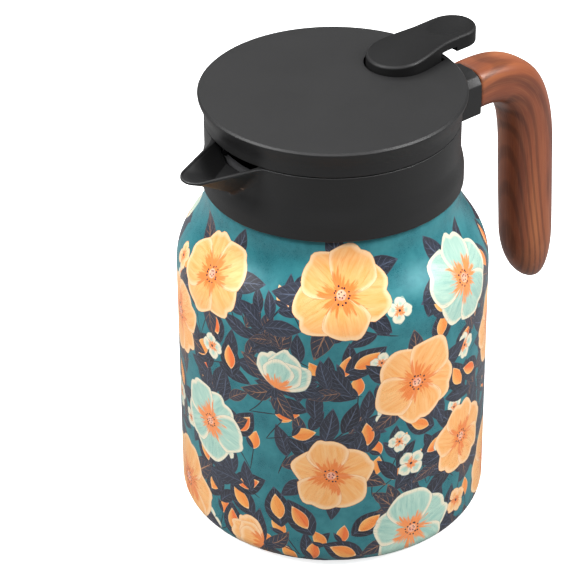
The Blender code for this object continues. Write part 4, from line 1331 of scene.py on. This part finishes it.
# --- return spring ---------------------------------------------------------------------------
def spring(material):
    """Round wire on a helix; its ends follow the valve below and the lid above."""
    wire, turns, steps = 0.55, 5.0, 240
    (x0, _, low), (x1, _, high) = corner("valve_spring", 0), corner("valve_spring", 1)
    middle, radius = (x0 + x1) / 2.0, (x1 - x0) / 2.0 - wire
    low, high = low + wire, high - wire
    rings = []
    for i in range(steps + 1):
        t = i / steps
        a = 2.0 * math.pi * turns * t
        z = low + (high - low) * (t - 0.055 * math.sin(2.0 * math.pi * t))
        ring = []
        for b in circle(12):
            r = radius + wire * math.cos(b)
            ring.append((middle + r * math.cos(a), r * math.sin(a), z + wire * math.sin(b)))
        rings.append(ring)
    obj = loft("spring_coil", rings, material)
    shade(obj, 50.0)
    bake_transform(obj)
    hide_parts("valve_spring")


# --- scene ------------------------------------------------------------------------------------------
def finish_cad_nodes(looks):
    """Give every CAD node that stays visible its own procedural material."""
    slots = {part["node"]: part["material_slot"] for part in frame["record"]["subparts"]}
    for name, obj in frame["nodes"].items():
        obj.data.materials.clear()
        obj.data.materials.append(looks[slots[name]])


def swap(piece, body, node):
    """Let a piece ride on a body and stand for a CAD node, which is hidden."""
    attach(piece, body)
    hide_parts(node)


VIEW_AZIMUTH, VIEW_ELEVATION, VIEW_ROLL = -39.5, 32.3, -0.5
VIEW_DISTANCE = 1.124
VIEW_LENS = 175.6
VIEW_AIM_RIGHT, VIEW_AIM_UP = -0.0178, 0.094
LAMP_AIM = Vector((0.0, 0.0, 0.1))
# name, metres to the camera's right, towards the camera and up, width, height, watts
LAMPS = (("left", -0.95, 0.21, 0.95, 0.5, 0.9, 22.0),
         ("right", 0.95, 0.25, 0.95, 0.5, 0.9, 24.5),
         ("front", -0.15, 0.75, 1.25, 0.9, 0.3, 7.8),
         ("top", -0.3, -0.7, 1.2, 1.1, 1.1, 6.6))


def add_lamps():
    """Soft rectangular lamps round the jug, placed from the camera's side."""
    back, right = view_axes()
    near = Vector((back.x, back.y, 0.0)).normalized()
    for name, across, towards, up, width, height, power in LAMPS:
        data = bpy.data.lights.new(name, "AREA")
        data.shape = "RECTANGLE"
        data.size, data.size_y = width, height
        data.energy = power
        obj = bpy.data.objects.new(name, data)
        obj.location = LAMP_AIM + right * across + near * towards + Vector((0.0, 0.0, up))
        obj.rotation_euler = (LAMP_AIM - obj.location).to_track_quat("-Z", "Y").to_euler()
        bpy.context.scene.collection.objects.link(obj)


def add_floor():
    """Pale paper: nearly white to the camera, a dim grey as a source of light."""
    f = Finish("paper_floor")
    tone = f.noise(f.place(), 3.0, 2.0)
    colour = f.ramp(tone, [(0.3, (0.86, 0.86, 0.86)), (0.7, (0.90, 0.90, 0.90))])
    fine = f.noise(f.place(), 900.0, 2.0)
    seen = f.node("LightPath")
    f.set(Base_Color=f.mix(seen, (0.26, 0.26, 0.26), colour), Roughness=0.9,
          Normal=f.bump(fine, 0.00005), Emission_Color=(1.0, 1.0, 1.0),
          Emission_Strength=f.times(seen, 0.8))
    half, level = 4000, -0.05
    obj = add_mesh("floor", [(-half, -half, level), (half, -half, level), (half, half, level),
                             (-half, half, level)], [(0, 1, 2, 3)], f.material)


def add_world():
    """White behind the jug, and a quarter as strong as a source of light."""
    world = bpy.data.worlds.new("studio")
    bpy.context.scene.world = world
    world.use_nodes = True
    shader = world.node_tree.nodes["Background"]
    shader.inputs[0].default_value = (1.0, 1.0, 1.0, 1.0)
    seen = world.node_tree.nodes.new("ShaderNodeLightPath")
    strength = world.node_tree.nodes.new("ShaderNodeMapRange")
    strength.inputs["To Min"].default_value = 0.24
    strength.inputs["To Max"].default_value = 1.0
    world.node_tree.links.new(seen.outputs["Is Camera Ray"], strength.inputs["Value"])
    world.node_tree.links.new(strength.outputs[0], shader.inputs[1])


def view_axes():
    """Directions from the jug to the camera, and to the camera's right."""
    a, e = math.radians(VIEW_AZIMUTH), math.radians(VIEW_ELEVATION)
    back = Vector((math.sin(a) * math.cos(e), -math.cos(a) * math.cos(e), math.sin(e)))
    right = Vector((math.cos(a), math.sin(a), 0.0))
    return back, right


def add_camera():
    """The view from the named angles and distance, rolled a little."""
    back, right = view_axes()
    up = back.cross(right)
    target = right * VIEW_AIM_RIGHT + Vector((0.0, 0.0, VIEW_AIM_UP))
    roll = math.radians(VIEW_ROLL)
    side = right * math.cos(roll) + up * math.sin(roll)
    top = up * math.cos(roll) - right * math.sin(roll)
    data = bpy.data.cameras.new("camera")
    data.sensor_width = 36.0
    data.lens = VIEW_LENS
    data.clip_start = 0.01
    data.clip_end = 20.0
    obj = bpy.data.objects.new("camera", data)
    matrix = Matrix((side, top, back)).transposed().to_4x4()
    matrix.translation = target + back * VIEW_DISTANCE
    obj.matrix_world = matrix
    bpy.context.scene.collection.objects.link(obj)
    bpy.context.scene.camera = obj


def main():
    """Build the finishes, the replacement pieces and the set."""
    charcoal = plastic("charcoal_plastic", (0.012, 0.012, 0.0123), 0.46, 0.30)
    looks = {
        "black_plastic": charcoal,
        "inner_plastic": plastic("inner_plastic", (0.045, 0.045, 0.047), 0.5),
        "liner_steel": metal("liner_steel", (0.74, 0.74, 0.73), 0.36, (1.0, 1.0, 30.0), 60.0, 0.000003),
        "screw_steel": metal("screw_steel", (0.66, 0.66, 0.65), 0.22, (1.0, 1.0, 1.0), 900.0),
        "spring_steel": metal("spring_steel", (0.52, 0.52, 0.52), 0.3, (1.0, 1.0, 1.0), 1200.0),
        "silicone": silicone("silicone", (0.62, 0.61, 0.58)),
        "foot_rubber": rubber("foot_rubber", (0.035, 0.035, 0.037)),
        "wood_look": wood(),
        "printed_steel": printed_paint(),
    }
    finish_cad_nodes(looks)
    swap(printed_body(looks["printed_steel"]), "jug", "outer_shell")
    swap(collar(charcoal), "jug", "collar")
    swap(grip(looks["wood_look"]), "jug", "handle_grip")
    swap(lid(charcoal), "lid", "lid_cover")
    # The lever gets a darker, less shiny copy of the charcoal plastic: its darker colour is painted
    # shade.
    shaded_lever_plastic = plastic("shaded_lever_plastic", (0.009, 0.009, 0.0092), 0.5, 0.12)
    swap(lever(shaded_lever_plastic), "lever", "lever")
    spring(looks["spring_steel"])
    add_floor()
    add_world()
    add_lamps()
    add_camera()
    bpy.context.scene.view_settings.view_transform = "Standard"


main()
